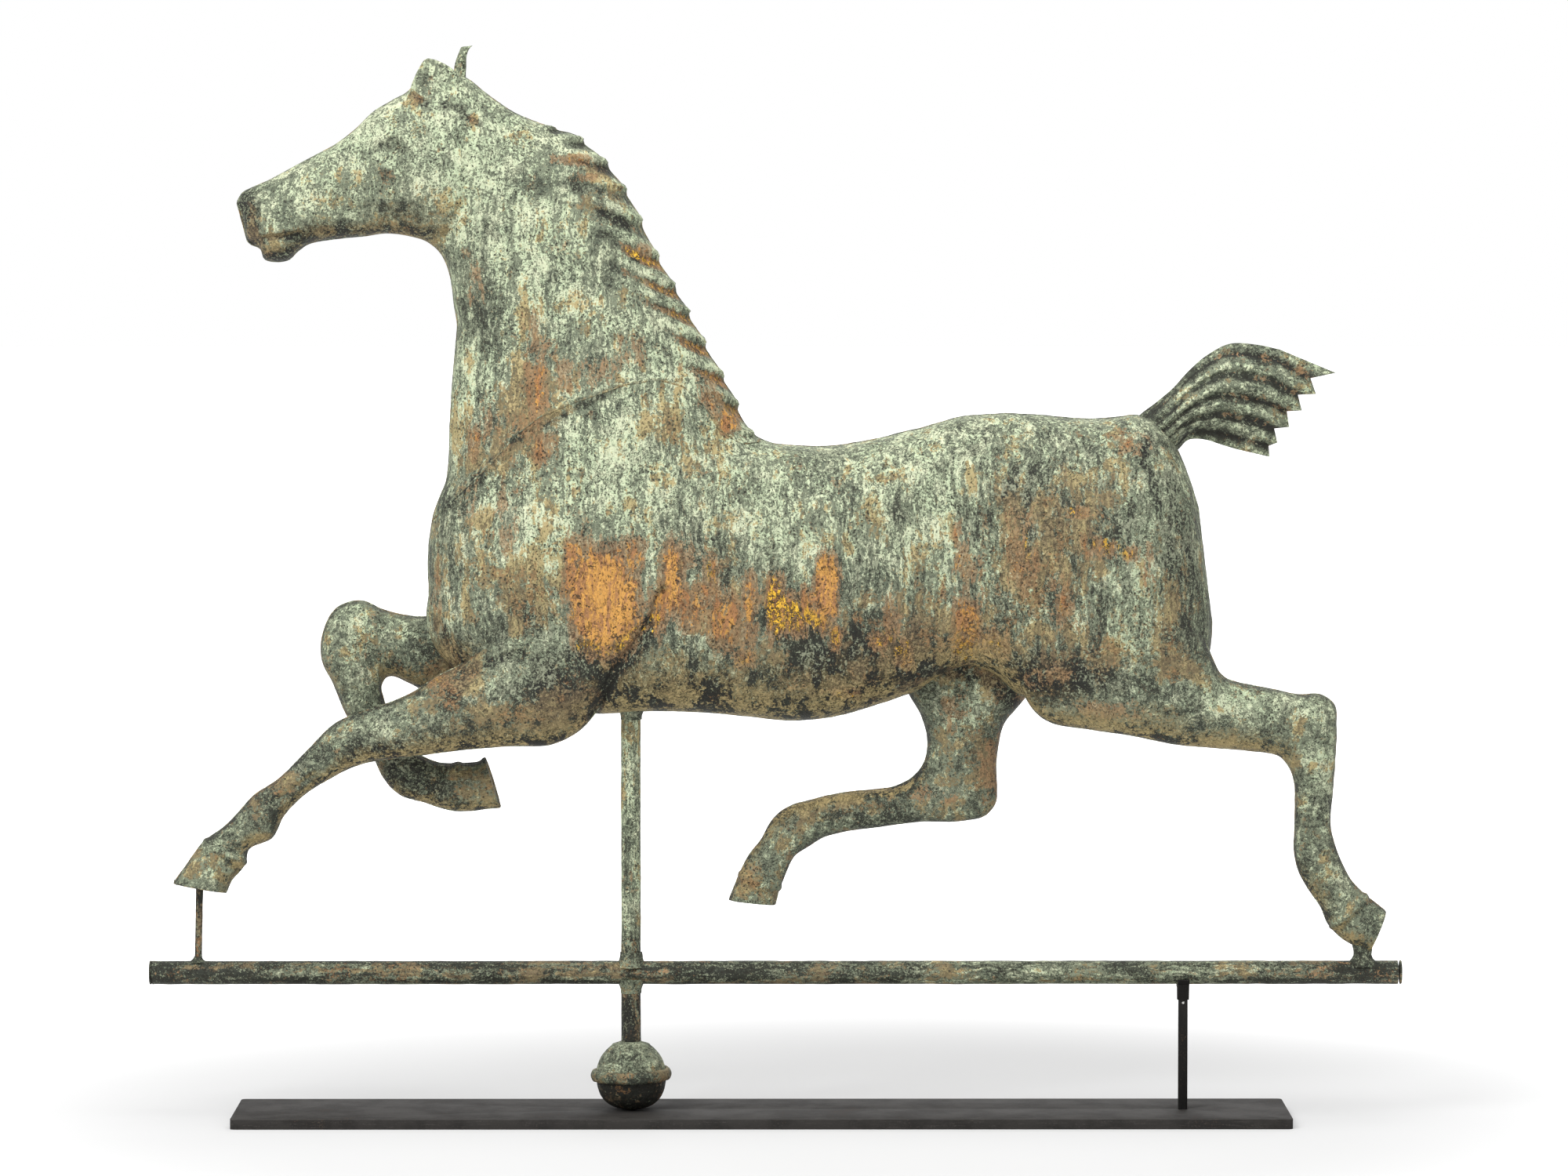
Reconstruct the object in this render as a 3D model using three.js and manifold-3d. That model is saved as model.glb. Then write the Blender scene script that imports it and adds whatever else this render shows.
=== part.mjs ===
// A running-horse weathervane in moulded sheet copper, kept on a small steel display stand.
// Millimetres, +Z up. The horse runs towards -X and its left side faces -Y.
// The origin is under the middle of the crossbar, on the underside of the base plate.
import * as THREE from 'three';
import { mergeVertices } from 'three/addons/utils/BufferGeometryUtils.js';
import Module from 'manifold-3d';

// Driving sizes of the copper vane
const horseLength = 970;          // toe of the left fore hoof to the sole of the left hind hoof
const sheetWall = 1.3;            // copper sheet
const seamGap = 0.4;              // solder line between two half shells
const uprightDiameter = 15.9;
const uprightWall = 1.2;
const crossbarDiameter = 19;
const crossbarWall = 1.2;
const crossbarHeight = 118;       // axis of the crossbar above the table
const crossbarFrontOverhang = 38.8;
const crossbarRearOverhang = 31.6;
const capThickness = 1.6;
const foreRodDiameter = 5.8;
const hindStubDiameter = 15;
const ballDiameter = 55.6;
const ballWall = 1.2;
const ballBandHeight = 9.5;
const ballBandThickness = 4;

// Driving sizes of the stand
const plateThickness = 8;
const plateDepth = 127;
const plateFrontReach = 317;      // from the spindle's axis to the plate's front end
const plateBeyondProp = 84;        // from the prop post to the plate's rear end
const plateCornerRadius = 4;
const spindleDiameter = 12.7;
const spindleHeight = 192;        // above the plate
const spindleNeckDiameter = 8.6;
const spindleNeckLength = 14;
const spindleTipRise = 2.2;       // height of the rounded tip
const spindleTipShoulderShare = 0.7;
const pivotCapCrown = 3;
const plugThickness = 8;
const propReach = 442;            // from the spindle's axis to the prop post
const plateRearReach = propReach + plateBeyondProp;
const propWidth = 7.2;
const saddleWidth = 9.3;
const saddleLedge = 12;           // how far the ledge runs back under the crossbar
const saddleLipThickness = 2.6;
const saddleLipRise = 4.7;        // how high the front lip climbs the crossbar
const saddleLipRootTurn = 1.3 * Math.PI;   // where the lip's outer face runs into the block
const saddleShankDiameter = 4;
const saddleShankLength = 12;
const saddleShankSeat = 4;        // how far the shank reaches up into the saddle
const saddlePinDiameter = 1.8;
const saddlePinDrop = 2.4;        // from the saddle's underside to the pin
const plateScrewDiameter = 5;
const plateScrewLength = 22;
const propScrewDiameter = 3;
const propScrewLength = 18;
const screwHeadShare = 2;         // a head is this many times as wide as its shank

// Clearances and the one overrun that every cut uses
const fitGap = 0.3;
const turnGap = 0.3;
const cutOverrun = 2;
const weldReach = 1e-4;

// Counts of facets
const roundFacets = 24;
const smallRoundFacets = 12;
const bodyFacets = 7;
const legFacets = 6;
const ballFacets = 4;
const cornerFacets = 4;
const saddleFacets = 8;

// The horse is drawn on a grid. A point (across, down) is given in 1550ths of the horse's length,
// and the grid's place is fixed where the upright's axis crosses the crossbar's.
const horseLengthShares = 1550;
const uprightShare = 803.7;
const crossbarShare = 1241;
const gridStep = horseLength / horseLengthShares;
const foreRodShares = [252.5, 250];
const hindStubShare = 1739;
const crossbarFront = (foreRodShares[1] - uprightShare) * gridStep - crossbarFrontOverhang;
const crossbarRear = (hindStubShare - uprightShare) * gridStep + crossbarRearOverhang;
const spindleX = -(crossbarFront + crossbarRear) / 2;

function gridX(across) {
  return spindleX + (across - uprightShare) * gridStep;
}

function gridZ(down) {
  return crossbarHeight + (crossbarShare - down) * gridStep;
}

// Materials
function metal(color, roughness, metalness) {
  return new THREE.MeshStandardMaterial({ color, roughness, metalness });
}

const verdigris = metal(0x8d9a84, 0.82, 0.35);
const darkPatina = metal(0x5b6156, 0.78, 0.4);
const tubePatina = metal(0x6d7465, 0.8, 0.4);
const solderGrey = metal(0x77776a, 0.7, 0.5);
const turnedBrass = metal(0xb08d4a, 0.4, 0.9);
const blackSteel = metal(0x35342f, 0.5, 0.75);
const brightSteel = metal(0x8c8c88, 0.35, 0.95);

// Solids
const wasm = await Module();
wasm.setup();

function weld(geometry) {
  const plain = geometry.clone();
  plain.deleteAttribute('normal');
  plain.deleteAttribute('uv');
  const merged = mergeVertices(plain, weldReach);
  const corners = Array.from(merged.index.array);
  const kept = [];
  for (let at = 0; at < corners.length; at += 3) {
    const [p, q, r] = corners.slice(at, at + 3);
    if (p !== q && q !== r && r !== p) {
      kept.push(p, q, r);
    }
  }
  merged.setIndex(kept);
  return merged;
}

function signedVolume(geometry) {
  const place = geometry.getAttribute('position');
  const corners = geometry.index.array;
  const p = new THREE.Vector3();
  const q = new THREE.Vector3();
  const r = new THREE.Vector3();
  let total = 0;
  for (let at = 0; at < corners.length; at += 3) {
    p.fromBufferAttribute(place, corners[at]);
    q.fromBufferAttribute(place, corners[at + 1]);
    r.fromBufferAttribute(place, corners[at + 2]);
    total += p.dot(q.cross(r)) / 6;
  }
  return total;
}

function facesOut(geometry) {
  const welded = weld(geometry);
  if (signedVolume(welded) < 0) {
    welded.setIndex(Array.from(welded.index.array).reverse());
  }
  return welded;
}

function solid(geometry) {
  const welded = facesOut(geometry);
  const vertProperties = new Float32Array(welded.getAttribute('position').array);
  const triVerts = new Uint32Array(welded.index.array);
  return new wasm.Manifold(new wasm.Mesh({ numProp: 3, vertProperties, triVerts }));
}

function surface(manifold) {
  const mesh = manifold.getMesh();
  const geometry = new THREE.BufferGeometry();
  geometry.setAttribute('position', new THREE.BufferAttribute(new Float32Array(mesh.vertProperties), 3));
  geometry.setIndex(Array.from(mesh.triVerts));
  return geometry;
}

// A turned piece, from points of radius and height, about an upright axis at x
function turned(points, x, facets) {
  const profile = points.map(([radius, height]) => new THREE.Vector2(radius, height));
  const lathe = new THREE.LatheGeometry(profile, facets);
  lathe.rotateX(Math.PI / 2);
  lathe.translate(x, 0, 0);
  return lathe;
}

function turnedRod(radius, low, high, x, facets) {
  return turned([[0, low], [radius, low], [radius, high], [0, high]], x, facets);
}

function turnedRing(inner, outer, low, high, x, facets) {
  return turned([[inner, low], [outer, low], [outer, high], [inner, high], [inner, low]], x, facets);
}

// A rod or tube lying along X on the crossbar's axis
function lyingRod(radius, start, end) {
  const rod = new THREE.CylinderGeometry(radius, radius, end - start, roundFacets);
  rod.rotateZ(Math.PI / 2);
  rod.translate((start + end) / 2, 0, crossbarHeight);
  return rod;
}

// Half shells of moulded sheet
// A row runs across the sheet from its lower edge to its upper edge. It gives both edge points
// on the grid, how far the sheet bulges there, and how far its seam lies from the middle plane.
// In the mane a row also has a lock, which raises or sinks the sheet near the row's upper edge.
const sheetFullness = 0.8;
const lockStartShare = 0.7;

function makeRow([lowAcross, lowDown, highAcross, highDown, bulge, seam = 0, lock = 0]) {
  return {
    low: new THREE.Vector2(gridX(lowAcross), gridZ(lowDown)),
    high: new THREE.Vector2(gridX(highAcross), gridZ(highDown)),
    bulge: bulge * gridStep,
    seam: seam * gridStep,
    lock: lock * gridStep,
  };
}

// Broad swells and hollows of the muscles: across, down, radius and height. They have their full
// height where the sheet bulges by fullReliefShare or more.
const swellFalloff = 2;
const fullReliefShare = 40;
const muscleShares = [
  [550, 232, 70, 9],
  [470, 232, 55, -4],
  [655, 420, 90, -6],
  [690, 715, 150, 7],
  [905, 700, 120, 3],
  [1205, 700, 95, -9],
  [1400, 700, 150, 4],
];

function muscleRelief(x, z) {
  let relief = 0;
  for (const [across, down, radius, height] of muscleShares) {
    const away = Math.hypot(x - gridX(across), z - gridZ(down)) / (radius * gridStep);
    relief += height * gridStep * Math.exp(-swellFalloff * away * away);
  }
  return relief;
}

function rowPoints(row, side, facets, options) {
  const points = [];
  const run = row.high.clone().sub(row.low);
  for (let at = 0; at <= facets; at += 1) {
    const turn = at / facets;
    const along = options.even ? turn : (1 - Math.cos(Math.PI * turn)) / 2;
    const rise = Math.sin(Math.PI * turn) ** sheetFullness;
    const x = row.low.x + run.x * along;
    const z = row.low.y + run.y * along;
    let depth = row.bulge * rise;
    if (options.relief) {
      depth += options.relief(x, z) * rise * Math.min(1, row.bulge / (fullReliefShare * gridStep));
    }
    if (turn > lockStartShare) {
      depth += row.lock * Math.sin(Math.PI * (turn - lockStartShare) / (1 - lockStartShare));
    }
    if (options.groove) {
      depth *= options.groove(along);
    }
    const inRow = at === 0 || at === facets ? 0 : Math.max(depth, 0);
    points.push(new THREE.Vector3(x, row.seam + side * (options.gap / 2 + inRow), z));
  }
  return points;
}

function towards(from, to, distance) {
  const run = to.clone().sub(from);
  const length = run.length();
  return length < distance ? to.clone() : from.clone().addScaledVector(run, distance / length);
}

// The same rows, one wall further in
function innerRows(rows, wall) {
  const last = rows.length - 1;
  const startSteps = rows[1].low.equals(rows[0].low) ? 2 : 1;
  const endSteps = rows[last - 1].low.equals(rows[last].low) ? 2 : 1;
  return rows.map((row, at) => {
    let { low, high } = row;
    if (at < startSteps) {
      low = towards(low, rows[startSteps].low, wall);
      high = towards(high, rows[startSteps].high, wall);
    }
    if (at > last - endSteps) {
      low = towards(low, rows[last - endSteps].low, wall);
      high = towards(high, rows[last - endSteps].high, wall);
    }
    const inwards = high.clone().sub(low).normalize().multiplyScalar(wall);
    return {
      ...row,
      low: low.clone().add(inwards),
      high: high.clone().sub(inwards),
      bulge: Math.max(row.bulge - wall, 0),
    };
  });
}

function grownRows(rows, clearance) {
  return rows.map((row) => {
    const outwards = row.high.clone().sub(row.low).normalize().multiplyScalar(clearance);
    return {
      ...row,
      low: row.low.clone().sub(outwards),
      high: row.high.clone().add(outwards),
      bulge: row.bulge + clearance,
    };
  });
}

// A closed skin from two grids of points that face each other, joined round their rims
function skin(front, back) {
  const across = front[0].length;
  const vertices = [front, back].flat(2).flatMap((point) => point.toArray());
  const backStart = front.length * across;
  const corners = [];
  const quad = (p, q, r, s) => corners.push(p, q, r, p, r, s);
  const rim = (p, q) => quad(q, p, backStart + p, backStart + q);
  for (let row = 0; row < front.length - 1; row += 1) {
    for (let at = 0; at < across - 1; at += 1) {
      const p = row * across + at;
      quad(p, p + across, p + across + 1, p + 1);
      quad(backStart + p, backStart + p + 1, backStart + p + across + 1, backStart + p + across);
    }
    rim(row * across, (row + 1) * across);
    rim((row + 2) * across - 1, (row + 1) * across - 1);
  }
  const lastRow = (front.length - 1) * across;
  for (let at = 0; at < across - 1; at += 1) {
    rim(lastRow + at, lastRow + at + 1);
    rim(at + 1, at);
  }
  const geometry = new THREE.BufferGeometry();
  geometry.setAttribute('position', new THREE.Float32BufferAttribute(vertices, 3));
  geometry.setIndex(corners);
  return geometry;
}

function gridOf(rows, side, facets, options) {
  return rows.map((row) => rowPoints(row, side, facets, options));
}

function halfShell(rows, side, facets, options = {}) {
  const split = { gap: seamGap, ...options };
  return solid(skin(
    gridOf(rows, side, facets, split),
    gridOf(innerRows(rows, sheetWall), side, facets, split)));
}

// The closed form that two half shells make together, grown by a clearance
function closedForm(rows, facets, clearance, options = {}) {
  const whole = { gap: 0, ...options };
  const grown = grownRows(rows, clearance);
  return solid(skin(gridOf(grown, -1, facets, whole), gridOf(grown, 1, facets, whole)));
}

function largest(manifold) {
  const pieces = manifold.decompose();
  return pieces.reduce((best, piece) => (piece.volume() > best.volume() ? piece : best));
}

// Body: muzzle, head and neck, then the barrel and the rump
const headShares = [
  [317, 306, 304, 257, 0],
  [321, 310, 312, 245, 19],
  [334, 316, 328, 237, 30],
  [339, 329, 346, 229, 34],
  [366, 331, 372, 215, 37],
  [382, 318, 400, 200, 38],
  [399, 308, 430, 184, 40],
  [462, 300, 478, 143, 44],
  [545, 306, 536, 104, 45],
  [566, 326, 572, 96, 44],
  [580, 388, 655, 143, 47],
  [584, 414, 699, 161, 50],
  [580, 458, 754, 190, 55],
];
const neckShares = [
  [578, 480, 771, 207, 58],
  [576, 510, 801, 250, 62],
  [574, 545, 833, 318, 67],
  [573, 580, 866, 378, 73],
  [569, 612, 899, 440, 79],
  [558, 640, 932, 500, 84],
  [551, 665, 959, 552, 87],
];
const barrelShares = [
  [547, 693, 981, 563, 89],
  [544, 785, 1036, 568, 92],
  [553, 820, 1050, 568, 92],
  [578, 850, 1062, 567, 92],
  [622, 880, 1074, 566, 92],
  [753, 908, 1097, 562, 92],
  [830, 905, 1124, 557, 92],
  [954, 912, 1172, 545, 91],
  [1008, 917, 1200, 537, 90],
  [1117, 897, 1250, 528, 86],
  [1170, 878, 1282, 526, 85],
  [1204, 856, 1302, 527, 86],
  [1268, 858, 1345, 530, 90],
  [1296, 882, 1367, 532, 92],
  [1340, 896, 1388, 533, 93],
  [1440, 901, 1430, 530, 91],
  [1488, 887, 1452, 529, 85],
  [1520, 866, 1476, 540, 74],
  [1539, 838, 1497, 566, 58],
  [1545, 800, 1513, 602, 38],
  [1542, 770, 1527, 645, 0],
];

// The mane is a band of locks along the crest. Each lock ends in a tip, with a notch below it.
const maneLocks = 12;
const lockTipShare = 0.72;
const lockRise = 2.6;
const lockNotch = 2.2;
const lockRelief = 1.6;

function blendRows(from, to, share) {
  return {
    low: from.low.clone().lerp(to.low, share),
    high: from.high.clone().lerp(to.high, share),
    bulge: THREE.MathUtils.lerp(from.bulge, to.bulge, share),
    seam: THREE.MathUtils.lerp(from.seam, to.seam, share),
    lock: 0,
  };
}

function rowAt(rows, share) {
  const place = share * (rows.length - 1);
  const at = Math.min(Math.floor(place), rows.length - 2);
  return blendRows(rows[at], rows[at + 1], place - at);
}

function lockRow(rows, share, offset, relief) {
  const row = rowAt(rows, share);
  const outwards = row.high.clone().sub(row.low).normalize();
  row.high.addScaledVector(outwards, offset);
  row.lock = relief;
  return row;
}

function maneRows() {
  const keys = neckShares.map(makeRow);
  const rows = [keys[0]];
  for (let lock = 0; lock < maneLocks; lock += 1) {
    rows.push(lockRow(keys, (lock + lockTipShare) / maneLocks, lockRise, lockRelief));
    rows.push(lockRow(keys, (lock + 1) / maneLocks, -lockNotch, -lockRelief));
  }
  return rows;
}

const bodyRows = [...headShares.map(makeRow), ...maneRows(), ...barrelShares.map(makeRow)];
const bodyOptions = { relief: muscleRelief };

// The head and neck are moulded apart from the barrel and soldered on along this line, from the
// chest over the shoulder and under the mane to the withers
const neckSeamShares = [
  [500, 712], [575, 640], [660, 552], [730, 511], [800, 487], [840, 481], [872, 490], [918, 545],
  [944, 563], [966, 562], [982, 530],
];
const neckRegionMargin = 60;

// Everything on the neck's side of the seam, moved away from the neck by the given distance
function neckRegion(distance) {
  const line = neckSeamShares.map(([across, down]) => new THREE.Vector2(gridX(across), gridZ(down)));
  const moved = line.map((point, at) => {
    const run = line[Math.min(at + 1, line.length - 1)].clone().sub(line[Math.max(at - 1, 0)]).normalize();
    return point.clone().add(new THREE.Vector2(run.y, -run.x).multiplyScalar(distance));
  });
  const left = spindleX - horseLength;
  const top = gridZ(0) + neckRegionMargin;
  const outline = new THREE.Shape([
    ...moved, new THREE.Vector2(moved.at(-1).x, top), new THREE.Vector2(left, top),
    new THREE.Vector2(left, moved[0].y),
  ]);
  const block = new THREE.ExtrudeGeometry(outline, { depth: plateDepth, bevelEnabled: false });
  block.translate(0, 0, -plateDepth / 2);
  block.rotateX(Math.PI / 2);
  return solid(block);
}

// Tail: a flared bundle of locks, each ending in a point
const tailShares = [
  [1452, 585, 1436, 545, 0],
  [1470, 590, 1452, 528, 20],
  [1500, 573, 1474, 511, 25],
  [1525, 558, 1515, 471, 28],
  [1540, 560, 1537, 452, 29],
  [1552, 564, 1567, 437, 29],
  [1575, 571, 1600, 438, 26],
  [1592, 575, 1630, 444, 20],
];
const tailTipShares = [
  [1618, 581], [1617, 567], [1628, 563], [1624, 545], [1643, 543], [1640, 523],
  [1659, 522], [1654, 502], [1677, 501], [1670, 481], [1702, 474],
];
const tailFacets = tailTipShares.length - 1;
const tailGrooveShare = 0.3;

function tailGroove(along) {
  return 1 - tailGrooveShare * (1 - Math.cos(Math.PI * tailFacets * along)) / 2;
}

function tailTips(side, inset) {
  const seam = side * seamGap / 2;
  return tailTipShares.map(
    ([across, down]) => new THREE.Vector3(gridX(across) - inset, seam, gridZ(down)));
}

function tailShell(side) {
  const rows = tailShares.map(makeRow);
  const options = { gap: seamGap, groove: tailGroove, even: true };
  const outer = [...gridOf(rows, side, tailFacets, options), tailTips(side, 0)];
  const inner = [...gridOf(innerRows(rows, sheetWall), side, tailFacets, options), tailTips(side, sheetWall)];
  return solid(skin(outer, inner));
}

// Legs, each in an outer and an inner half shell. Low points run down the front of a hind leg
// and the underside of a foreleg. The last row repeats the sole's line, which closes the hoof.
const leftForelegShares = [
  [815, 800, 700, 700, 0, 38],
  [800, 840, 650, 770, 34, 40],
  [768, 893, 620, 815, 42, 40],
  [735, 930, 588, 844, 41, 39],
  [706, 944, 560, 858, 38, 38],
  [523, 961, 465, 904, 27, 33],
  [463, 970, 425, 922, 24, 30],
  [423, 988, 388, 959, 22, 26],
  [386, 1012, 354, 992, 20, 22],
  [346, 1066, 303, 1035, 23, 14],
  [317, 1080, 284, 1054, 22, 10],
  [310, 1102, 258, 1073, 21, 6],
  [294, 1121, 240, 1097, 22, 3],
  [286, 1138, 219, 1126, 23, 0],
  [286, 1138, 219, 1126, 0, 0],
];
const rightForelegShares = [
  [660, 890, 640, 800, 0, 34],
  [625, 900, 600, 788, 28, 36],
  [545, 884, 524, 787, 30, 38],
  [520, 872, 490, 780, 29, 38],
  [500, 863, 455, 767, 27, 38],
  [490, 864, 427, 776, 26, 37],
  [484, 872, 410, 806, 25, 36],
  [487, 896, 422, 872, 22, 36],
  [499, 922, 438, 910, 20, 36],
  [513, 945, 458, 943, 18, 36],
  [527, 961, 474, 968, 18, 36],
  [540, 969, 486, 993, 19, 36],
  [580, 976, 538, 1025, 21, 36],
  [616, 968, 636, 1032, 22, 36],
  [616, 968, 636, 1032, 0, 36],
];
const leftHindLegShares = [
  [1290, 800, 1400, 640, 0, 36],
  [1300, 870, 1450, 690, 36, 36],
  [1334, 915, 1500, 745, 45, 36],
  [1388, 926, 1528, 800, 46, 36],
  [1442, 934, 1543, 835, 43, 36],
  [1550, 950, 1576, 867, 35, 34],
  [1595, 954, 1621, 876, 31, 32],
  [1637, 967, 1685, 884, 28, 28],
  [1650, 996, 1702, 924, 26, 26],
  [1651, 1022, 1701, 965, 23, 24],
  [1651, 1087, 1696, 1052, 20, 18],
  [1657, 1110, 1702, 1077, 21, 14],
  [1669, 1132, 1711, 1099, 22, 10],
  [1685, 1155, 1724, 1123, 22, 7],
  [1696, 1179, 1742, 1141, 23, 4],
  [1723, 1203, 1757, 1153, 23, 1],
  [1748, 1214, 1769, 1163, 22, 0],
  [1748, 1214, 1769, 1163, 0, 0],
];
const rightHindLegShares = [
  [1170, 740, 1330, 780, 0, 36],
  [1150, 800, 1345, 830, 40, 36],
  [1146, 850, 1325, 870, 43, 36],
  [1161, 888, 1298, 903, 42, 36],
  [1175, 912, 1280, 926, 38, 36],
  [1183, 937, 1274, 951, 34, 36],
  [1176, 981, 1272, 1005, 29, 36],
  [1163, 995, 1271, 1024, 28, 36],
  [1143, 1005, 1259, 1041, 26, 36],
  [1090, 1012, 1176, 1050, 22, 36],
  [1007, 1031, 1050, 1070, 22, 36],
  [985, 1048, 1032, 1081, 22, 36],
  [971, 1073, 1012, 1095, 21, 36],
  [954, 1095, 1002, 1115, 21, 36],
  [942, 1119, 993, 1138, 22, 36],
  [929, 1151, 988, 1157, 23, 36],
  [929, 1151, 988, 1157, 0, 36],
];

function legRows(shares, side) {
  return shares.map(makeRow).map((row) => ({ ...row, seam: side * row.seam }));
}

// Ears: the left one is a worn stub, the right one stands thin and upright with a bent tip
const leftEarShares = [
  [534, 122, 596, 116, 10, -20],
  [536, 100, 592, 101, 10, -20],
  [540, 86, 582, 87, 8, -21],
  [547, 77, 575, 81, 5, -22],
];
const rightEarShares = [
  [573, 116, 600, 118, 6, 18],
  [578, 99, 595, 101, 6, 18],
  [581, 80, 594, 84, 5, 19],
  [587, 65, 595, 69, 4, 20],
  [592, 58, 602, 58, 2, 20],
];

// Heights of the upright and of the ball under the crossbar
const uprightRadius = uprightDiameter / 2;
const uprightBore = uprightRadius - uprightWall;
const crossbarRadius = crossbarDiameter / 2;
const ballRadius = ballDiameter / 2;
const spindleRadius = spindleDiameter / 2;
const plateTop = plateThickness;
const spindleTop = plateTop + spindleHeight;
const ballMiddle = plateTop + turnGap + ballRadius;
const uprightTopShare = 630;
const uprightTop = gridZ(uprightTopShare);
const uprightBottom = ballMiddle + ballRadius / 2;
const bellyShare = 905;
const belly = gridZ(bellyShare);

const vane = new THREE.Group();
const stand = new THREE.Group();

function addPiece(group, name, shape, material) {
  const geometry = shape.isBufferGeometry ? facesOut(shape) : surface(shape);
  const piece = new THREE.Mesh(geometry, material);
  piece.name = name;
  group.add(piece);
  return piece;
}

// Horse
const uprightHole = solid(turnedRod(
  uprightRadius + fitGap, crossbarHeight, uprightTop + cutOverrun, spindleX, roundFacets));
const bodyForm = closedForm(bodyRows, bodyFacets, fitGap, bodyOptions);

for (const [name, side] of [['left', -1], ['right', 1]]) {
  const half = halfShell(bodyRows, side, bodyFacets, bodyOptions).subtract(uprightHole);
  addPiece(vane, `body_${name}_shell`, largest(half.subtract(neckRegion(seamGap / 2))), verdigris);
  addPiece(vane, `neck_${name}_shell`, largest(half.intersect(neckRegion(-seamGap / 2))), verdigris);
}
addPiece(vane, 'tail_left_shell', largest(tailShell(-1).subtract(bodyForm)), darkPatina);
addPiece(vane, 'tail_right_shell', largest(tailShell(1).subtract(bodyForm)), darkPatina);

function addLeg(name, shares, side) {
  const rows = legRows(shares, side);
  const outer = largest(halfShell(rows, side, legFacets).subtract(bodyForm));
  const inner = largest(halfShell(rows, -side, legFacets).subtract(bodyForm));
  addPiece(vane, `${name}_outer_shell`, outer, verdigris);
  addPiece(vane, `${name}_inner_shell`, inner, verdigris);
  return closedForm(rows, legFacets, fitGap);
}

const foreHoofForm = addLeg('left_foreleg', leftForelegShares, -1);
addLeg('right_foreleg', rightForelegShares, 1);
const hindHoofForm = addLeg('left_hind_leg', leftHindLegShares, -1);
addLeg('right_hind_leg', rightHindLegShares, 1);

function addEar(name, shares) {
  const ear = closedForm(shares.map(makeRow), legFacets, 0);
  addPiece(vane, name, largest(ear.subtract(bodyForm)), verdigris);
}

addEar('left_ear', leftEarShares);
addEar('right_ear', rightEarShares);

// Crossbar, its end caps and the upright that passes through it
const crossbarStart = spindleX + crossbarFront;
const crossbarEnd = spindleX + crossbarRear;
const capSeat = capThickness + fitGap;
const crossbarSolid = solid(lyingRod(crossbarRadius, crossbarStart + capSeat, crossbarEnd - capSeat));
const crossbarBore = solid(lyingRod(
  crossbarRadius - crossbarWall, crossbarStart - cutOverrun, crossbarEnd + cutOverrun));
const crossbarForm = solid(lyingRod(crossbarRadius + fitGap, crossbarStart, crossbarEnd));
addPiece(vane, 'crossbar_tube', crossbarSolid.subtract(crossbarBore).subtract(solid(turnedRod(
  uprightRadius + fitGap, crossbarHeight - crossbarDiameter, crossbarHeight + crossbarDiameter,
  spindleX, roundFacets))), tubePatina);
addPiece(vane, 'crossbar_front_cap',
  lyingRod(crossbarRadius, crossbarStart, crossbarStart + capThickness), tubePatina);
addPiece(vane, 'crossbar_rear_cap',
  lyingRod(crossbarRadius, crossbarEnd - capThickness, crossbarEnd), tubePatina);
addPiece(vane, 'upright_tube',
  turnedRing(uprightBore, uprightRadius, uprightBottom, uprightTop, spindleX, roundFacets), tubePatina);

// Solder that fills the corner between a rod and what it stands on. It is widest at its foot,
// thins to a waist half way and ends in a thin edge.
const filletReach = 5.5;
const filletRise = 7;
const filletWaist = filletReach / 4;
const filletEdge = filletReach / 12;

function fillet(rodRadius, low, high, x, facets) {
  const middle = (low + high) / 2;
  const inner = rodRadius + fitGap;
  return solid(turned([
    [inner, low], [inner + filletReach, low], [inner + filletWaist, middle],
    [inner + filletEdge, high], [inner, high], [inner, low],
  ], x, facets));
}

function fillingUnder(rodRadius, low, high, x, facets) {
  const middle = (low + high) / 2;
  const inner = rodRadius + fitGap;
  return solid(turned([
    [inner, low], [inner + filletEdge, low], [inner + filletWaist, middle],
    [inner + filletReach, high], [inner, high], [inner, low],
  ], x, facets));
}

const bellyFilletTop = belly + filletRise / 2;
const filletSeat = crossbarRadius / 2;       // how far above or below the axis a fillet starts
addPiece(vane, 'belly_solder', largest(fillingUnder(
  uprightRadius, belly - filletRise, bellyFilletTop, spindleX, roundFacets)
  .subtract(bodyForm)), solderGrey);
addPiece(vane, 'crossing_upper_solder', largest(fillet(
  uprightRadius, crossbarHeight + filletSeat, crossbarHeight + crossbarRadius + filletRise,
  spindleX, roundFacets).subtract(crossbarForm)), solderGrey);
addPiece(vane, 'crossing_lower_solder', largest(fillingUnder(
  uprightRadius, crossbarHeight - crossbarRadius - filletRise, crossbarHeight - filletSeat,
  spindleX, roundFacets).subtract(crossbarForm)), solderGrey);

// Rod under the fore hoof, leaning a little, with its own fillet
const foreRodRadius = foreRodDiameter / 2;
const foreSoleShare = 1138;
const foreHoofShare = 1121;
const foreRodX = gridX(foreRodShares[1]);
const foreRodLean = Math.atan(
  (foreRodShares[0] - foreRodShares[1]) * gridStep / (gridZ(foreSoleShare) - crossbarHeight));
const foreRodLength = gridZ(foreHoofShare) - crossbarHeight;

function leaningRod(radius) {
  const rod = turnedRod(radius, 0, foreRodLength, 0, smallRoundFacets);
  rod.rotateY(foreRodLean);
  rod.translate(foreRodX, 0, crossbarHeight);
  return solid(rod);
}

addPiece(vane, 'fore_hoof_rod', largest(
  leaningRod(foreRodRadius).subtract(crossbarForm).subtract(foreHoofForm)), tubePatina);
addPiece(vane, 'fore_hoof_rod_solder', largest(fillet(
  foreRodRadius, crossbarHeight + filletSeat, crossbarHeight + crossbarRadius + filletRise / 2,
  foreRodX, smallRoundFacets).subtract(crossbarForm).subtract(leaningRod(foreRodRadius + fitGap))),
solderGrey);

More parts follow.
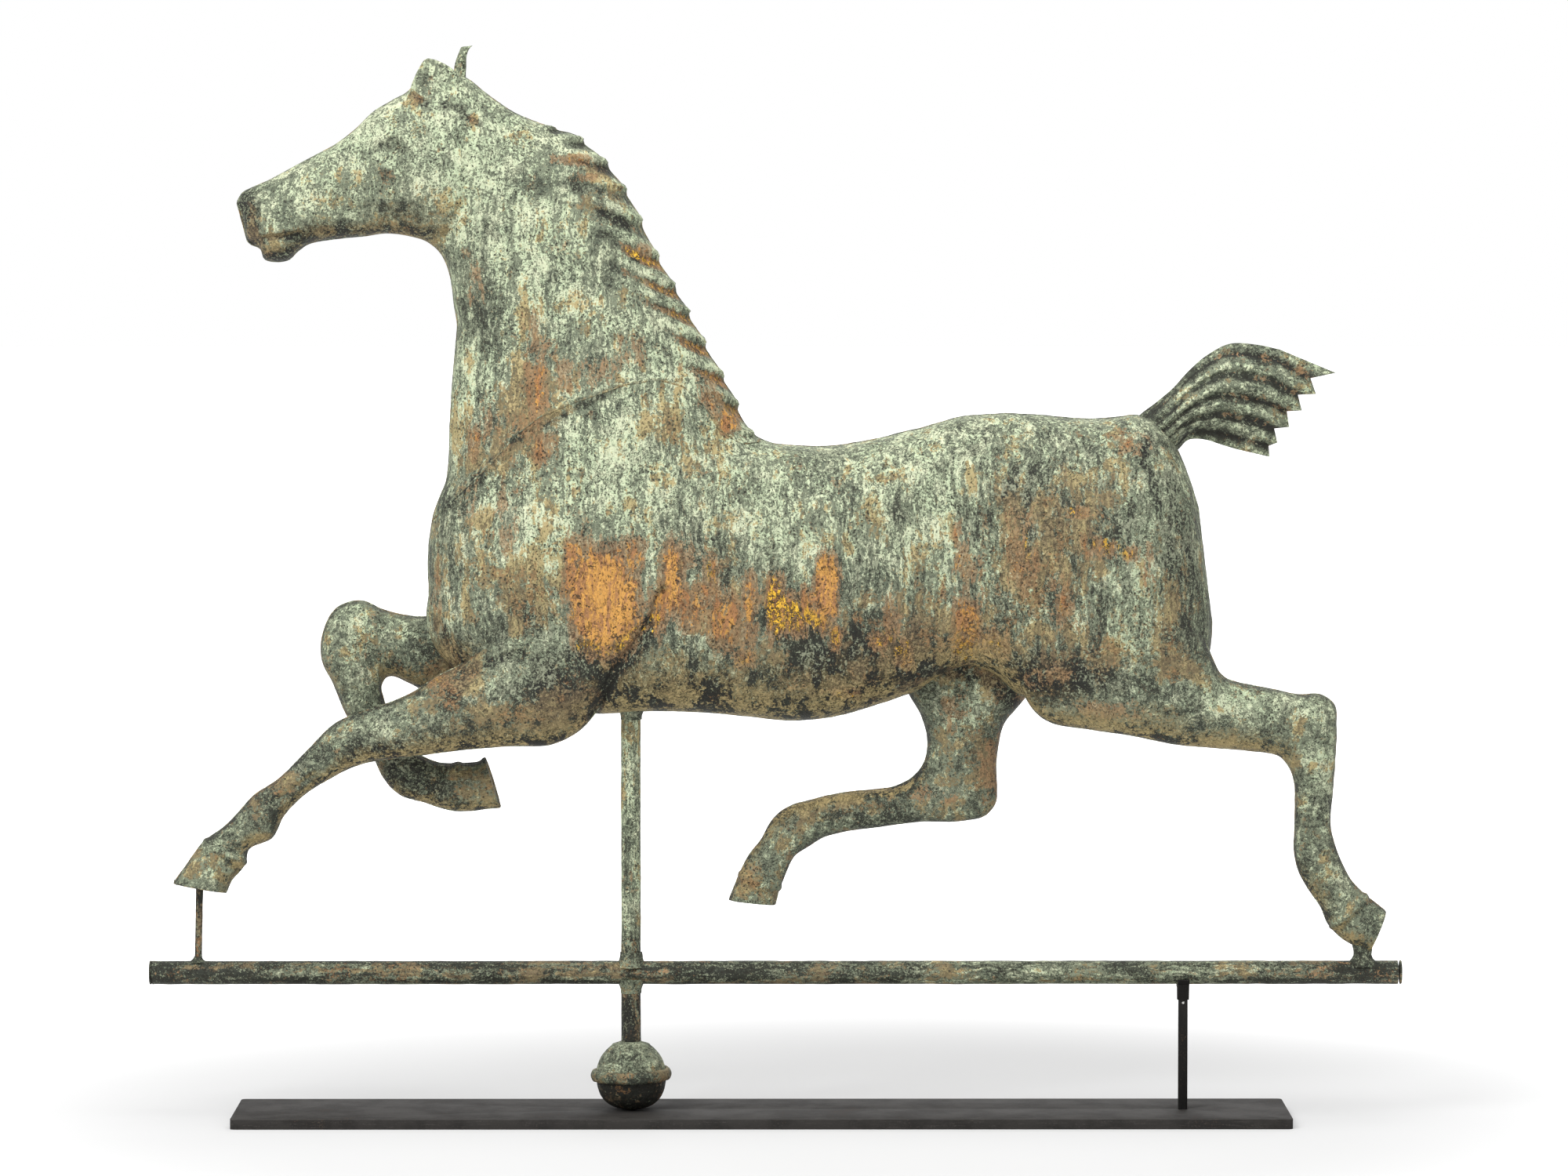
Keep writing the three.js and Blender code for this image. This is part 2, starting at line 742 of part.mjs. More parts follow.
// Thick stub of solder under the hind hoof
const hindStubX = gridX(hindStubShare);
const hindStubRadius = hindStubDiameter / 2;
const hindStubFlareRadius = 11.25;
const hindStubShoulder = 15.2;     // height above the axis at which the foot narrows to the stub
const hindHoofShare = 1195;
addPiece(vane, 'hind_hoof_solder', largest(solid(turned([
  [0, crossbarHeight + filletSeat], [hindStubFlareRadius, crossbarHeight + filletSeat],
  [hindStubFlareRadius, crossbarHeight + crossbarRadius],
  [hindStubRadius, crossbarHeight + hindStubShoulder],
  [hindStubRadius, gridZ(hindHoofShare)], [0, gridZ(hindHoofShare)],
], hindStubX, roundFacets)).subtract(crossbarForm).subtract(hindHoofForm)), solderGrey);

// Ball: two spun copper bowls, joined at the middle under a band
function bowlPoints(radius, hole, side) {
  const holeTurn = Math.acos(hole / radius);
  const points = [];
  for (let at = 0; at <= ballFacets; at += 1) {
    const turn = holeTurn * at / ballFacets;
    const rise = radius * Math.sin(turn);
    points.push([radius * Math.cos(turn), ballMiddle + side * (rise + seamGap / 2 * (1 - at / ballFacets))]);
  }
  return points;
}

function bowl(hole, side) {
  const outer = bowlPoints(ballRadius, hole, side);
  const inner = bowlPoints(ballRadius - ballWall, hole, side).reverse();
  return turned([...outer, ...inner, outer[0]], spindleX, roundFacets);
}

addPiece(vane, 'ball_upper_bowl', bowl(uprightRadius + fitGap, 1), tubePatina);
addPiece(vane, 'ball_lower_bowl', bowl(spindleRadius + fitGap, -1), tubePatina);

const bandInner = ballRadius + fitGap;
const bandOuter = bandInner + ballBandThickness;
const bandRounding = ballBandThickness / 3;
const bandTilt = THREE.MathUtils.degToRad(-1.5);
const band = turned([
  [bandInner, -ballBandHeight / 2], [bandOuter - bandRounding, -ballBandHeight / 2],
  [bandOuter, -ballBandHeight / 2 + bandRounding], [bandOuter, ballBandHeight / 2 - bandRounding],
  [bandOuter - bandRounding, ballBandHeight / 2], [bandInner, ballBandHeight / 2],
  [bandInner, -ballBandHeight / 2],
], 0, roundFacets);
band.rotateY(bandTilt);
band.translate(spindleX, 0, ballMiddle);
addPiece(vane, 'ball_seam_band', band, tubePatina);

// Bearing: a brass cap turns on the spindle's neck, and the plug in the tube rests on the cap
const neckRadius = spindleNeckDiameter / 2;
const capRadius = uprightBore - fitGap;
const capBottom = spindleTop - spindleNeckLength + fitGap;
const capTop = spindleTop + fitGap + pivotCapCrown;
const plugBottom = capTop + fitGap;
addPiece(vane, 'bearing_plug', turnedRod(
  uprightBore - fitGap, plugBottom, plugBottom + plugThickness, spindleX, roundFacets), turnedBrass);
addPiece(stand, 'pivot_cap', turned([
  [0, spindleTop + fitGap], [neckRadius + fitGap, spindleTop + fitGap], [neckRadius + fitGap, capBottom],
  [capRadius, capBottom], [capRadius, capTop], [0, capTop],
].reverse(), spindleX, roundFacets), turnedBrass);

// Base plate, from a flat bar with eased corners, drilled from below for two countersunk screws
const plateStart = spindleX - plateFrontReach;
const plateEnd = spindleX + plateRearReach;
const propX = spindleX + propReach;

function roundedPlate() {
  const half = plateDepth / 2;
  const outline = new THREE.Shape();
  outline.moveTo(plateStart + plateCornerRadius, -half);
  outline.lineTo(plateEnd - plateCornerRadius, -half);
  outline.absarc(plateEnd - plateCornerRadius, -half + plateCornerRadius, plateCornerRadius,
    -Math.PI / 2, 0);
  outline.lineTo(plateEnd, half - plateCornerRadius);
  outline.absarc(plateEnd - plateCornerRadius, half - plateCornerRadius, plateCornerRadius,
    0, Math.PI / 2);
  outline.lineTo(plateStart + plateCornerRadius, half);
  outline.absarc(plateStart + plateCornerRadius, half - plateCornerRadius, plateCornerRadius,
    Math.PI / 2, Math.PI);
  outline.lineTo(plateStart, -half + plateCornerRadius);
  outline.absarc(plateStart + plateCornerRadius, -half + plateCornerRadius, plateCornerRadius,
    Math.PI, -Math.PI / 2);
  return new THREE.ExtrudeGeometry(outline, {
    depth: plateThickness, bevelEnabled: false, curveSegments: cornerFacets,
  });
}

// A countersunk screw points up from the plate's underside
function screwPoints(radius, length, ease, low) {
  const head = radius * screwHeadShare + ease;
  const shank = radius + ease;
  return [[0, low], [head, low], [shank, low + radius + ease], [shank, length + ease], [0, length + ease]];
}

const screwSink = fitGap;
const screws = [
  ['spindle_screw', spindleX, plateScrewDiameter / 2, plateScrewLength],
  ['prop_screw', propX, propScrewDiameter / 2, propScrewLength],
];
let drilledPlate = solid(roundedPlate());
const screwHoles = {};
for (const [name, x, radius, length] of screws) {
  addPiece(stand, name, turned(screwPoints(radius, length, 0, screwSink), x, smallRoundFacets), brightSteel);
  screwHoles[name] = solid(turned([
    [0, -cutOverrun], [radius * screwHeadShare + fitGap, -cutOverrun],
    ...screwPoints(radius, length, fitGap, screwSink).slice(1),
  ], x, smallRoundFacets));
  drilledPlate = drilledPlate.subtract(screwHoles[name]);
}
addPiece(stand, 'base_plate', drilledPlate, blackSteel);

// Spindle: a steel rod with a turned neck and a rounded tip
const neckStart = spindleTop - spindleNeckLength;
addPiece(stand, 'spindle', solid(turned([
  [0, plateTop + fitGap], [spindleRadius, plateTop + fitGap], [spindleRadius, neckStart],
  [neckRadius, neckStart], [neckRadius, spindleTop - spindleTipRise],
  [neckRadius * spindleTipShoulderShare, spindleTop - spindleTipRise / 4], [0, spindleTop],
], spindleX, roundFacets)).subtract(screwHoles.spindle_screw), blackSteel);

// Prop post: a square bar, drilled at the top for the saddle's shank and its pin
const ledgeTop = crossbarHeight - crossbarRadius - turnGap;
const saddleBottom = ledgeTop - saddleLedge;
const pinHeight = saddleBottom - saddlePinDrop;
const post = new THREE.BoxGeometry(propWidth, propWidth, saddleBottom - fitGap - plateTop - fitGap);
post.translate(propX, 0, (saddleBottom + plateTop) / 2);
const shankRadius = saddleShankDiameter / 2;
const shankHole = solid(turnedRod(shankRadius + fitGap, saddleBottom - saddleShankLength - fitGap,
  saddleBottom + cutOverrun, propX, smallRoundFacets));

function pin(radius, start, end) {
  const rod = new THREE.CylinderGeometry(radius, radius, end - start, smallRoundFacets);
  rod.translate(propX, (start + end) / 2, pinHeight);
  return solid(rod);
}

const pinRadius = saddlePinDiameter / 2;
const pinEnd = propWidth / 2 - fitGap;
addPiece(stand, 'prop_post', solid(post).subtract(shankHole)
  .subtract(pin(pinRadius + fitGap, -propWidth, propWidth))
  .subtract(screwHoles.prop_screw), blackSteel);
addPiece(stand, 'saddle_pin', pin(pinRadius, -pinEnd, pinEnd), brightSteel);

// Saddle: a flat ledge behind and a curved lip in front, so the crossbar can swing off backwards.
// Its outline is drawn looking along the crossbar, from the middle of the ledge.
const seatRadius = crossbarRadius + turnGap;
const lipRadius = seatRadius + saddleLipThickness;
const lipTop = -seatRadius + saddleLipRise;
const saddleOutline = new THREE.Shape();
saddleOutline.moveTo(-propWidth / 2, -seatRadius - saddleLedge);
saddleOutline.lineTo(propWidth / 2, -seatRadius - saddleLedge);
saddleOutline.lineTo(propWidth / 2 + saddleLipThickness, -seatRadius - saddleLipThickness);
saddleOutline.lineTo(saddleLedge, -seatRadius - saddleLipThickness);
saddleOutline.lineTo(saddleLedge, -seatRadius);
saddleOutline.lineTo(0, -seatRadius);
saddleOutline.absarc(0, 0, seatRadius, -Math.PI / 2, Math.PI + Math.asin(-lipTop / seatRadius), true);
saddleOutline.absarc(0, 0, lipRadius, Math.PI + Math.asin(-lipTop / lipRadius),
  saddleLipRootTurn, false);
saddleOutline.closePath();
const saddleBlock = new THREE.ExtrudeGeometry(saddleOutline, {
  depth: saddleWidth, bevelEnabled: false, curveSegments: saddleFacets,
});
saddleBlock.translate(0, 0, -saddleWidth / 2);
saddleBlock.rotateX(Math.PI / 2);
saddleBlock.rotateZ(Math.PI / 2);
saddleBlock.translate(propX, 0, crossbarHeight);
const shank = solid(turnedRod(shankRadius, saddleBottom - saddleShankLength,
  saddleBottom + saddleShankSeat, propX, smallRoundFacets));
addPiece(stand, 'saddle', solid(saddleBlock).add(shank)
  .subtract(pin(pinRadius + fitGap, -propWidth, propWidth)), blackSteel);

const weathervane = new THREE.Group();
weathervane.add(stand, vane);
export default weathervane;
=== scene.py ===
import itertools
import math

import bmesh
import bpy
import numpy as np
from mathutils import Matrix, Vector
from mathutils.bvhtree import BVHTree


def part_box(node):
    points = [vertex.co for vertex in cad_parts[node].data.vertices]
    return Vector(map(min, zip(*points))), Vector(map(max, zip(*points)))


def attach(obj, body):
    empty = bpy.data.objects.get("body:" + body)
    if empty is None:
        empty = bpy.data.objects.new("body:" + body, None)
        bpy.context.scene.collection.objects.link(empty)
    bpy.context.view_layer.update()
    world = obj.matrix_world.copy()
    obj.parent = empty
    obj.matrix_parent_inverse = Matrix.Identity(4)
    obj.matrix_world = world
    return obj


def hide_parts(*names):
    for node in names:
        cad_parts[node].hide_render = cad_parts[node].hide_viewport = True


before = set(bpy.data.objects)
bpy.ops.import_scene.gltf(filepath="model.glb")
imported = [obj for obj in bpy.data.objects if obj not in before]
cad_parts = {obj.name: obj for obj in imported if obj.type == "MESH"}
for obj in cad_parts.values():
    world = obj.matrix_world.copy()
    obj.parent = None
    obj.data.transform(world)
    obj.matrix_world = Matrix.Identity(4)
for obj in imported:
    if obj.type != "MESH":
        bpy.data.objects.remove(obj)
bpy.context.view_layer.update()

# Body, head and neck: two half shells of sheet copper, hammered into moulds and soldered along the
# middle. They are drawn on a grid whose unit is one share, a 1550th of the horse's length, counted
# across from the left and down. Every row runs over the sheet from its lower to its upper edge.
HORSE_LENGTH = 0.970
HORSE_LENGTH_SHARES = 1550
SHARE = HORSE_LENGTH / HORSE_LENGTH_SHARES


def middle_of(node, axis):
    low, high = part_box(node)
    return (getattr(low, axis) + getattr(high, axis)) / 2


UPRIGHT_SHARE = 803.7
CROSSBAR_SHARE = 1241
SPINDLE_X = middle_of("spindle", "x")
CROSSBAR_Z = middle_of("crossbar_tube", "z")
SHEET_FULLNESS = 0.8
SEAM_GAP = 0.0004
INNER_INSET = 0.0026
INNER_STEP = 5
FADE_AT_SEAM = 0.25

# Each row: across and down at its lower edge, across and down at its upper edge, depth
BODY_ROWS = [
    (317, 306, 304, 257, 0), (321, 310, 312, 245, 19), (334, 316, 328, 237, 30),
    (339, 329, 346, 229, 34), (366, 331, 372, 215, 37), (382, 318, 400, 200, 38),
    (399, 308, 430, 184, 40), (430, 303, 455, 165, 42), (462, 300, 478, 143, 44),
    (495, 296, 501, 129, 46), (526, 300, 522, 117, 46), (545, 306, 536, 104, 45),
    (557, 315, 552, 98, 44), (566, 326, 572, 96, 44), (572, 340, 593, 99, 44),
    (577, 360, 620, 119, 45), (580, 388, 655, 143, 47), (584, 414, 699, 161, 50),
    (582, 438, 731, 172, 52), (580, 458, 754, 190, 55), (578, 480, 771, 207, 58),
    (576, 510, 801, 250, 62), (574, 545, 833, 318, 67), (573, 580, 866, 378, 73),
    (569, 612, 899, 440, 79), (558, 640, 932, 500, 84), (551, 665, 959, 552, 87),
    (547, 693, 981, 563, 89), (546, 724, 1000, 566, 91), (547, 755, 1018, 567, 92),
    (544, 785, 1036, 568, 92), (553, 820, 1050, 568, 92), (578, 850, 1062, 567, 92),
    (622, 880, 1074, 566, 92), (686, 900, 1085, 564, 92), (753, 908, 1097, 562, 92),
    (830, 905, 1124, 557, 92), (900, 907, 1150, 550, 92), (954, 912, 1172, 545, 91),
    (1008, 917, 1200, 537, 90), (1063, 912, 1226, 530, 88), (1117, 897, 1250, 528, 86),
    (1144, 888, 1266, 527, 85), (1170, 878, 1282, 526, 85), (1204, 856, 1302, 527, 86),
    (1236, 848, 1324, 528, 88), (1268, 858, 1345, 530, 90), (1296, 882, 1367, 532, 92),
    (1340, 896, 1388, 533, 93), (1390, 902, 1410, 532, 93), (1440, 901, 1430, 530, 91),
    (1488, 887, 1452, 529, 85), (1520, 866, 1476, 540, 74), (1539, 838, 1497, 566, 58),
    (1545, 800, 1513, 602, 38), (1542, 770, 1527, 645, 0),
]
BODY_LINES = 541
BODY_COLUMNS = 181

# The seam between the neck and the barrel, from the throat over the shoulder to the withers
NECK_SEAM = [
    (500, 712), (575, 640), (626, 591), (660, 552), (691, 528), (730, 511), (768, 498), (800, 487),
    (840, 481), (872, 490), (895, 512), (918, 545), (944, 563), (966, 562), (982, 530),
]
NECK_REACH = 90
NECK_PULL = 0.04

# Swells and hollows of the muscles and the face: a drawn line or point, its width and its height
BODY_FORMS = [
    ([(550, 232)], 50, 9), ([(470, 232)], 39, -4), ([(655, 420)], 64, -6), ([(690, 715)], 106, 7),
    ([(905, 700)], 85, 3), ([(1205, 700)], 67, -9), ([(1400, 700)], 106, 4),
    ([(590, 175), (601, 215), (592, 262), (572, 300)], 7, -4.5), ([(505, 186)], 12, -5),
    ([(490, 178), (506, 170), (522, 177)], 5, 2.6), ([(506, 214), (405, 236)], 11, 2.6),
    ([(430, 262), (520, 275)], 14, -2), ([(315, 262), (322, 270)], 5.5, -6),
    ([(322, 254), (331, 262)], 5, 2.5), ([(321, 309), (345, 303), (386, 299)], 3.5, -4),
    (NECK_SEAM[1:9], 7, 1.6),
    ([(578, 649), (632, 600), (666, 561), (696, 537), (735, 520), (772, 507)], 4, -1.8),
    ([(700, 250), (745, 330), (785, 420), (830, 500)], 20, -2.5),
    ([(640, 330), (650, 450), (690, 540)], 30, 2.5),
    ([(960, 640), (1010, 760), (990, 850)], 40, -2),
    ([(1330, 640), (1300, 760), (1310, 850)], 26, 3), ([(1260, 640), (1245, 800)], 22, -3),
]

# Only on the left side: the crease behind the elbow, its fold, and a short one in the chest
LEFT_FORMS = [
    ([(757, 908), (769, 880), (788, 846), (812, 815), (832, 784), (846, 748)], 5, -9),
    ([(735, 880), (770, 820), (800, 775)], 18, 3.5),
    ([(604, 846), (640, 832), (668, 826)], 5, -2.5),
]

# The mane lies in slanting locks along the crest. Its band: place across, and reach down the neck
MANE_BAND = [
    (690, 0), (730, 24), (765, 62), (800, 76), (830, 68), (870, 54), (910, 44), (945, 28), (965, 0),
]
MANE_BAND_FADE = (0.25, 1.08)
MANE_END_FADE = 14
MANE_PITCH = 43
MANE_FIRST = 22
MANE_SLANT = [(700, 2.2), (790, 1.25)]
MANE_WANDER = [(5, 0.045), (2.5, 0.018)]
MANE_SEED = 71
MANE_RELIEF = 0.0036
MANE_RELIEF_LEVEL = 0.35
MANE_TOOTH = 0.0034
MANE_TOOTH_LEVEL = 0.3
MANE_TOOTH_REACH = 9
MANE_STRANDS = 3
MANE_STRAND_RELIEF = 0.00035
MANE_FADE_AT_SEAM = 0.12
LOCK_CURVE = 1.3
LOCK_EDGE = 0.84
NOTCH_FADE = (0.08, 0.5)

# Dents of the mould and the hammer, and the crust of the corroded face: height and size of each
HAMMER_MARKS = [(0.00075, 0.055), (0.00034, 0.019), (0.00018, 0.0065), (0.00010, 0.0034)]
HAMMER_SEED = 11


def grid_x(across):
    return SPINDLE_X + (across - UPRIGHT_SHARE) * SHARE


def grid_z(down):
    return CROSSBAR_Z + (CROSSBAR_SHARE - down) * SHARE


def shares_of(points):
    across = UPRIGHT_SHARE + (points[..., 0] - SPINDLE_X) / SHARE
    down = CROSSBAR_SHARE - (points[..., 2] - CROSSBAR_Z) / SHARE
    return across, down


def smooth_step(low, high, value):
    part = np.clip((value - low) / (high - low), 0, 1)
    return part * part * (3 - 2 * part)


def through_rows(knots, values, at):
    """A smooth curve through the drawn rows, at the places asked for."""
    slopes = np.gradient(values, knots, axis=0)
    row = np.clip(np.searchsorted(knots, at, side="right") - 1, 0, len(knots) - 2)
    width = (knots[row + 1] - knots[row])[:, None]
    u = (at - knots[row])[:, None] / width
    start = (2 * u**3 - 3 * u**2 + 1) * values[row] + (u**3 - 2 * u**2 + u) * width * slopes[row]
    end = (3 * u**2 - 2 * u**3) * values[row + 1] + (u**3 - u**2) * width * slopes[row + 1]
    return start + end


def drawn_sheet(rows, lines, columns, side, sole_lines=0, even=False):
    """The smooth outer face of one half shell, as a grid of points, and each column's rise."""
    table = np.array([tuple(row) + (0,) * (6 - len(row)) for row in rows], float)
    edges = np.column_stack([
        grid_x(table[:, 0]), grid_z(table[:, 1]), grid_x(table[:, 2]), grid_z(table[:, 3]),
        table[:, 4] * SHARE, table[:, 5] * SHARE,
    ])
    steps = np.maximum(
        np.hypot(*np.diff(edges[:, :2], axis=0).T), np.hypot(*np.diff(edges[:, 2:4], axis=0).T))
    knots = np.concatenate([[0], np.cumsum(steps)])
    drawn = through_rows(knots, edges, np.linspace(0, knots[-1], lines))
    if sole_lines:
        sole = np.repeat(drawn[-1:], sole_lines, axis=0)
        sole[:, 4] *= 1 - np.arange(1, sole_lines + 1) / sole_lines
        drawn = np.vstack([drawn, sole])
    turn = np.linspace(0, 1, columns)
    rise = np.sin(np.pi * turn) ** SHEET_FULLNESS
    rise[[0, -1]] = 0
    along = turn if even else (1 - np.cos(np.pi * turn)) / 2
    low, high = drawn[:, None, 0:2], drawn[:, None, 2:4]
    flat = low + (high - low) * along[None, :, None]
    depth = np.maximum(drawn[:, 4], 0)[:, None] * rise
    y = drawn[:, 5][:, None] + side * (SEAM_GAP / 2 + depth)
    return np.stack([flat[..., 0], y, flat[..., 1]], axis=-1), rise


def sheet_normals(points, side):
    """Outward normals of a drawn sheet. On the seam they stay in the seam's plane."""
    diagonal = points[1:, 1:] - points[:-1, :-1]
    other = points[:-1, 1:] - points[1:, :-1]
    face = np.cross(diagonal, other)
    if face[..., 1].sum() * side < 0:
        face = -face
    total = np.zeros_like(points)
    for down, across in itertools.product((slice(None, -1), slice(1, None)), repeat=2):
        total[down, across] += face
    total[:, [0, -1], 1] = 0
    return total / np.maximum(np.linalg.norm(total, axis=-1, keepdims=True), 1e-12)


def lumps(points, size, seed):
    """Smooth random values between -1 and 1 that change over the given size."""
    table = np.random.RandomState(seed).uniform(-1, 1, (16, 16, 16))
    cell = np.floor(points / size)
    part = points / size - cell
    part = part * part * (3 - 2 * part)
    total = np.zeros(points.shape[:-1])
    for corner in itertools.product((0, 1), repeat=3):
        index = (cell.astype(int) + corner) % 16
        share = np.prod(np.where(corner, part, 1 - part), axis=-1)
        total += share * table[index[..., 0], index[..., 1], index[..., 2]]
    return total


def uneven(points, marks, seed):
    """Smooth unevenness of several sizes, each with its own height."""
    return sum(height * lumps(points, size, seed + at) for at, (height, size) in enumerate(marks))


def hammered(points, seed):
    return uneven(points, HAMMER_MARKS, seed)


def foot_on(across, down, start, end):
    """How far along a straight stroke each place lies, and how far right of it and below it."""
    run = (end[0] - start[0], end[1] - start[1])
    reach = run[0] ** 2 + run[1] ** 2
    part = np.clip(((across - start[0]) * run[0] + (down - start[1]) * run[1]) / reach, 0, 1)
    return part, across - start[0] - part * run[0], down - start[1] - part * run[1]


def distance_to(across, down, line):
    """Distance in shares from a drawn line or point."""
    if len(line) == 1:
        return np.hypot(across - line[0][0], down - line[0][1])
    nearest = np.full(across.shape, np.inf)
    for start, end in zip(line, line[1:]):
        nearest = np.minimum(nearest, np.hypot(*foot_on(across, down, start, end)[1:]))
    return nearest


def beyond(across, down, line):
    """Distance in shares from a drawn line, below zero on its upper side."""
    nearest = np.full(across.shape, np.inf)
    signed = np.zeros(across.shape)
    for start, end in zip(line, line[1:]):
        _, right, below = foot_on(across, down, start, end)
        away = np.hypot(right, below)
        turn = (end[0] - start[0]) * below - (end[1] - start[1]) * right
        signed = np.where(away < nearest, away * np.sign(turn), signed)
        nearest = np.minimum(away, nearest)
    return signed


def led_along(points, seam):
    """Slides the lines of the sheet near a seam until one follows it, and gives its number."""
    lines, columns = points.shape[:2]
    place = beyond(*shares_of(points), seam)
    past = np.argmax(place > 0, axis=0)
    near, far = place[past - 1, range(columns)], place[past, range(columns)]
    crossing = past - 1 + near / (near - far)
    middle = INNER_STEP * round(crossing.mean() / INNER_STEP)
    line = np.arange(lines)
    weight = 1 - smooth_step(0, NECK_REACH, abs(line - middle))
    for column in range(columns):
        source = line + (crossing[column] - middle) * weight
        for axis in range(3):
            points[:, column, axis] = np.interp(source, line, points[:, column, axis])
    return middle


def formed(points, forms):
    across, down = shares_of(points)
    total = np.zeros(across.shape)
    for line, width, height in forms:
        total += height * SHARE * np.exp(-(distance_to(across, down, line) / width) ** 2)
    return total


def muscled(points, side):
    return formed(points, BODY_FORMS) + (formed(points, LEFT_FORMS) if side < 0 else 0)


def mane_locks(points):
    """How strongly the mane shows at each point, and where the point lies within its lock."""
    across, down = shares_of(points)
    crest = np.stack([across[:, -1], down[:, -1]], axis=-1)
    first, last = (np.argmax(crest[:, 0] > MANE_BAND[end][0]) for end in (0, -1))
    inwards = np.full(across.shape, np.inf)
    reached, crest_across = np.zeros(across.shape), np.zeros(across.shape)
    passed = 0.0
    for start, end in zip(crest[first:last], crest[first + 1:last + 1]):
        length = math.hypot(*(end - start))
        part, right, below = foot_on(across, down, start, end)
        away = np.hypot(right, below)
        nearer = away < inwards
        reached = np.where(nearer, passed + part * length, reached)
        crest_across = np.where(nearer, start[0] + part * (end[0] - start[0]), crest_across)
        inwards = np.minimum(away, inwards)
        passed += length
    width = np.interp(crest_across, *zip(*MANE_BAND))
    slant = np.interp(crest_across, *zip(*MANE_SLANT))
    wander = uneven(points, MANE_WANDER, MANE_SEED)
    phase = (reached + MANE_FIRST + slant * inwards + wander) / MANE_PITCH
    start, end = MANE_BAND_FADE
    within = 1 - smooth_step(width * start, width * end + 1e-6, inwards)
    return within * smooth_step(0, MANE_END_FADE, width), phase, inwards


def lock_height(phase):
    """A lock rises slowly towards its lower side and drops sharply into the notch."""
    part = phase - np.floor(phase)
    return part**LOCK_CURVE * (1 - smooth_step(LOCK_EDGE, 1.0, part))


def numbered(lines, columns, first=0):
    return first + np.arange(lines * columns).reshape(lines, columns)


def quads_of(grid):
    """The four-sided faces between the numbered points of a grid."""
    quads = np.stack([grid[:-1, :-1], grid[1:, :-1], grid[1:, 1:], grid[:-1, 1:]], axis=-1)
    return quads.reshape(-1, 4)


def rim_of(grid):
    """The outermost points of a grid, once round."""
    return np.concatenate([grid[:-1, 0], grid[-1, :-1], grid[:0:-1, -1], grid[0, :0:-1]])


def sheet_faces(lines, columns):
    """A fine outer skin, a coarse inner skin, and the rim that joins the two."""
    fine = numbered(lines, columns)
    coarse = numbered((lines - 1) // INNER_STEP + 1, (columns - 1) // INNER_STEP + 1, fine.size)
    faces = quads_of(fine).tolist() + quads_of(coarse).tolist()
    outer, inner = rim_of(fine).tolist(), rim_of(coarse).tolist()
    for at, near in enumerate(inner):
        far = inner[(at + 1) % len(inner)]
        rim = [outer[(at * INNER_STEP + k) % len(outer)] for k in range(INNER_STEP + 1)]
        for k in range(INNER_STEP):
            faces.append((rim[k], rim[k + 1], near if k < INNER_STEP // 2 else far))
        faces.append((near, rim[INNER_STEP // 2], far))
    return faces


def marked(mesh, name, values):
    """Writes a value on every point of a mesh, for its material to read."""
    mark = mesh.attributes.new(name, "FLOAT", "POINT")
    mark.data.foreach_set("value", values.astype(np.float32))


def mended(mesh, gap):
    """Merges the doubles of a mesh and turns its faces outwards."""
    form = bmesh.new()
    form.from_mesh(mesh)
    bmesh.ops.remove_doubles(form, verts=form.verts, dist=gap)
    bmesh.ops.recalc_face_normals(form, faces=form.faces)
    form.to_mesh(mesh)
    form.free()


def placed(name, data):
    """A new object in the scene, at the origin."""
    piece = bpy.data.objects.new(name, data)
    bpy.context.scene.collection.objects.link(piece)
    return piece


def finished(name, vertices, faces, sharp_degrees=50, hollow=None):
    """A closed mesh with its doubles merged and its faces turned outwards, as an object."""
    mesh = bpy.data.meshes.new(name)
    mesh.from_pydata(vertices.tolist(), [], faces)
    if hollow is not None:
        marked(mesh, "hollow", hollow)
    mended(mesh, gap=2e-6)
    mesh.shade_smooth()
    mesh.set_sharp_from_angle(angle=math.radians(sharp_degrees))
    return placed(name, mesh)


def beaten_sheet(name, points, normals, relief, hollow=None):
    """A half shell: the drawn sheet raised by its relief, with an inner wall behind it."""
    coarse = slice(None, None, INNER_STEP)
    outer = points + normals * relief[..., None]
    inner = (points - normals * INNER_INSET)[coarse, coarse]
    inner[:, [0, -1], 1] = points[coarse, coarse][:, [0, -1], 1]
    vertices = np.vstack([outer.reshape(-1, 3), inner.reshape(-1, 3)])
    if hollow is not None:
        hollow = np.concatenate([hollow.ravel(), hollow[coarse, coarse].ravel()])
    return finished(name, vertices, sheet_faces(*points.shape[:2]), hollow=hollow)


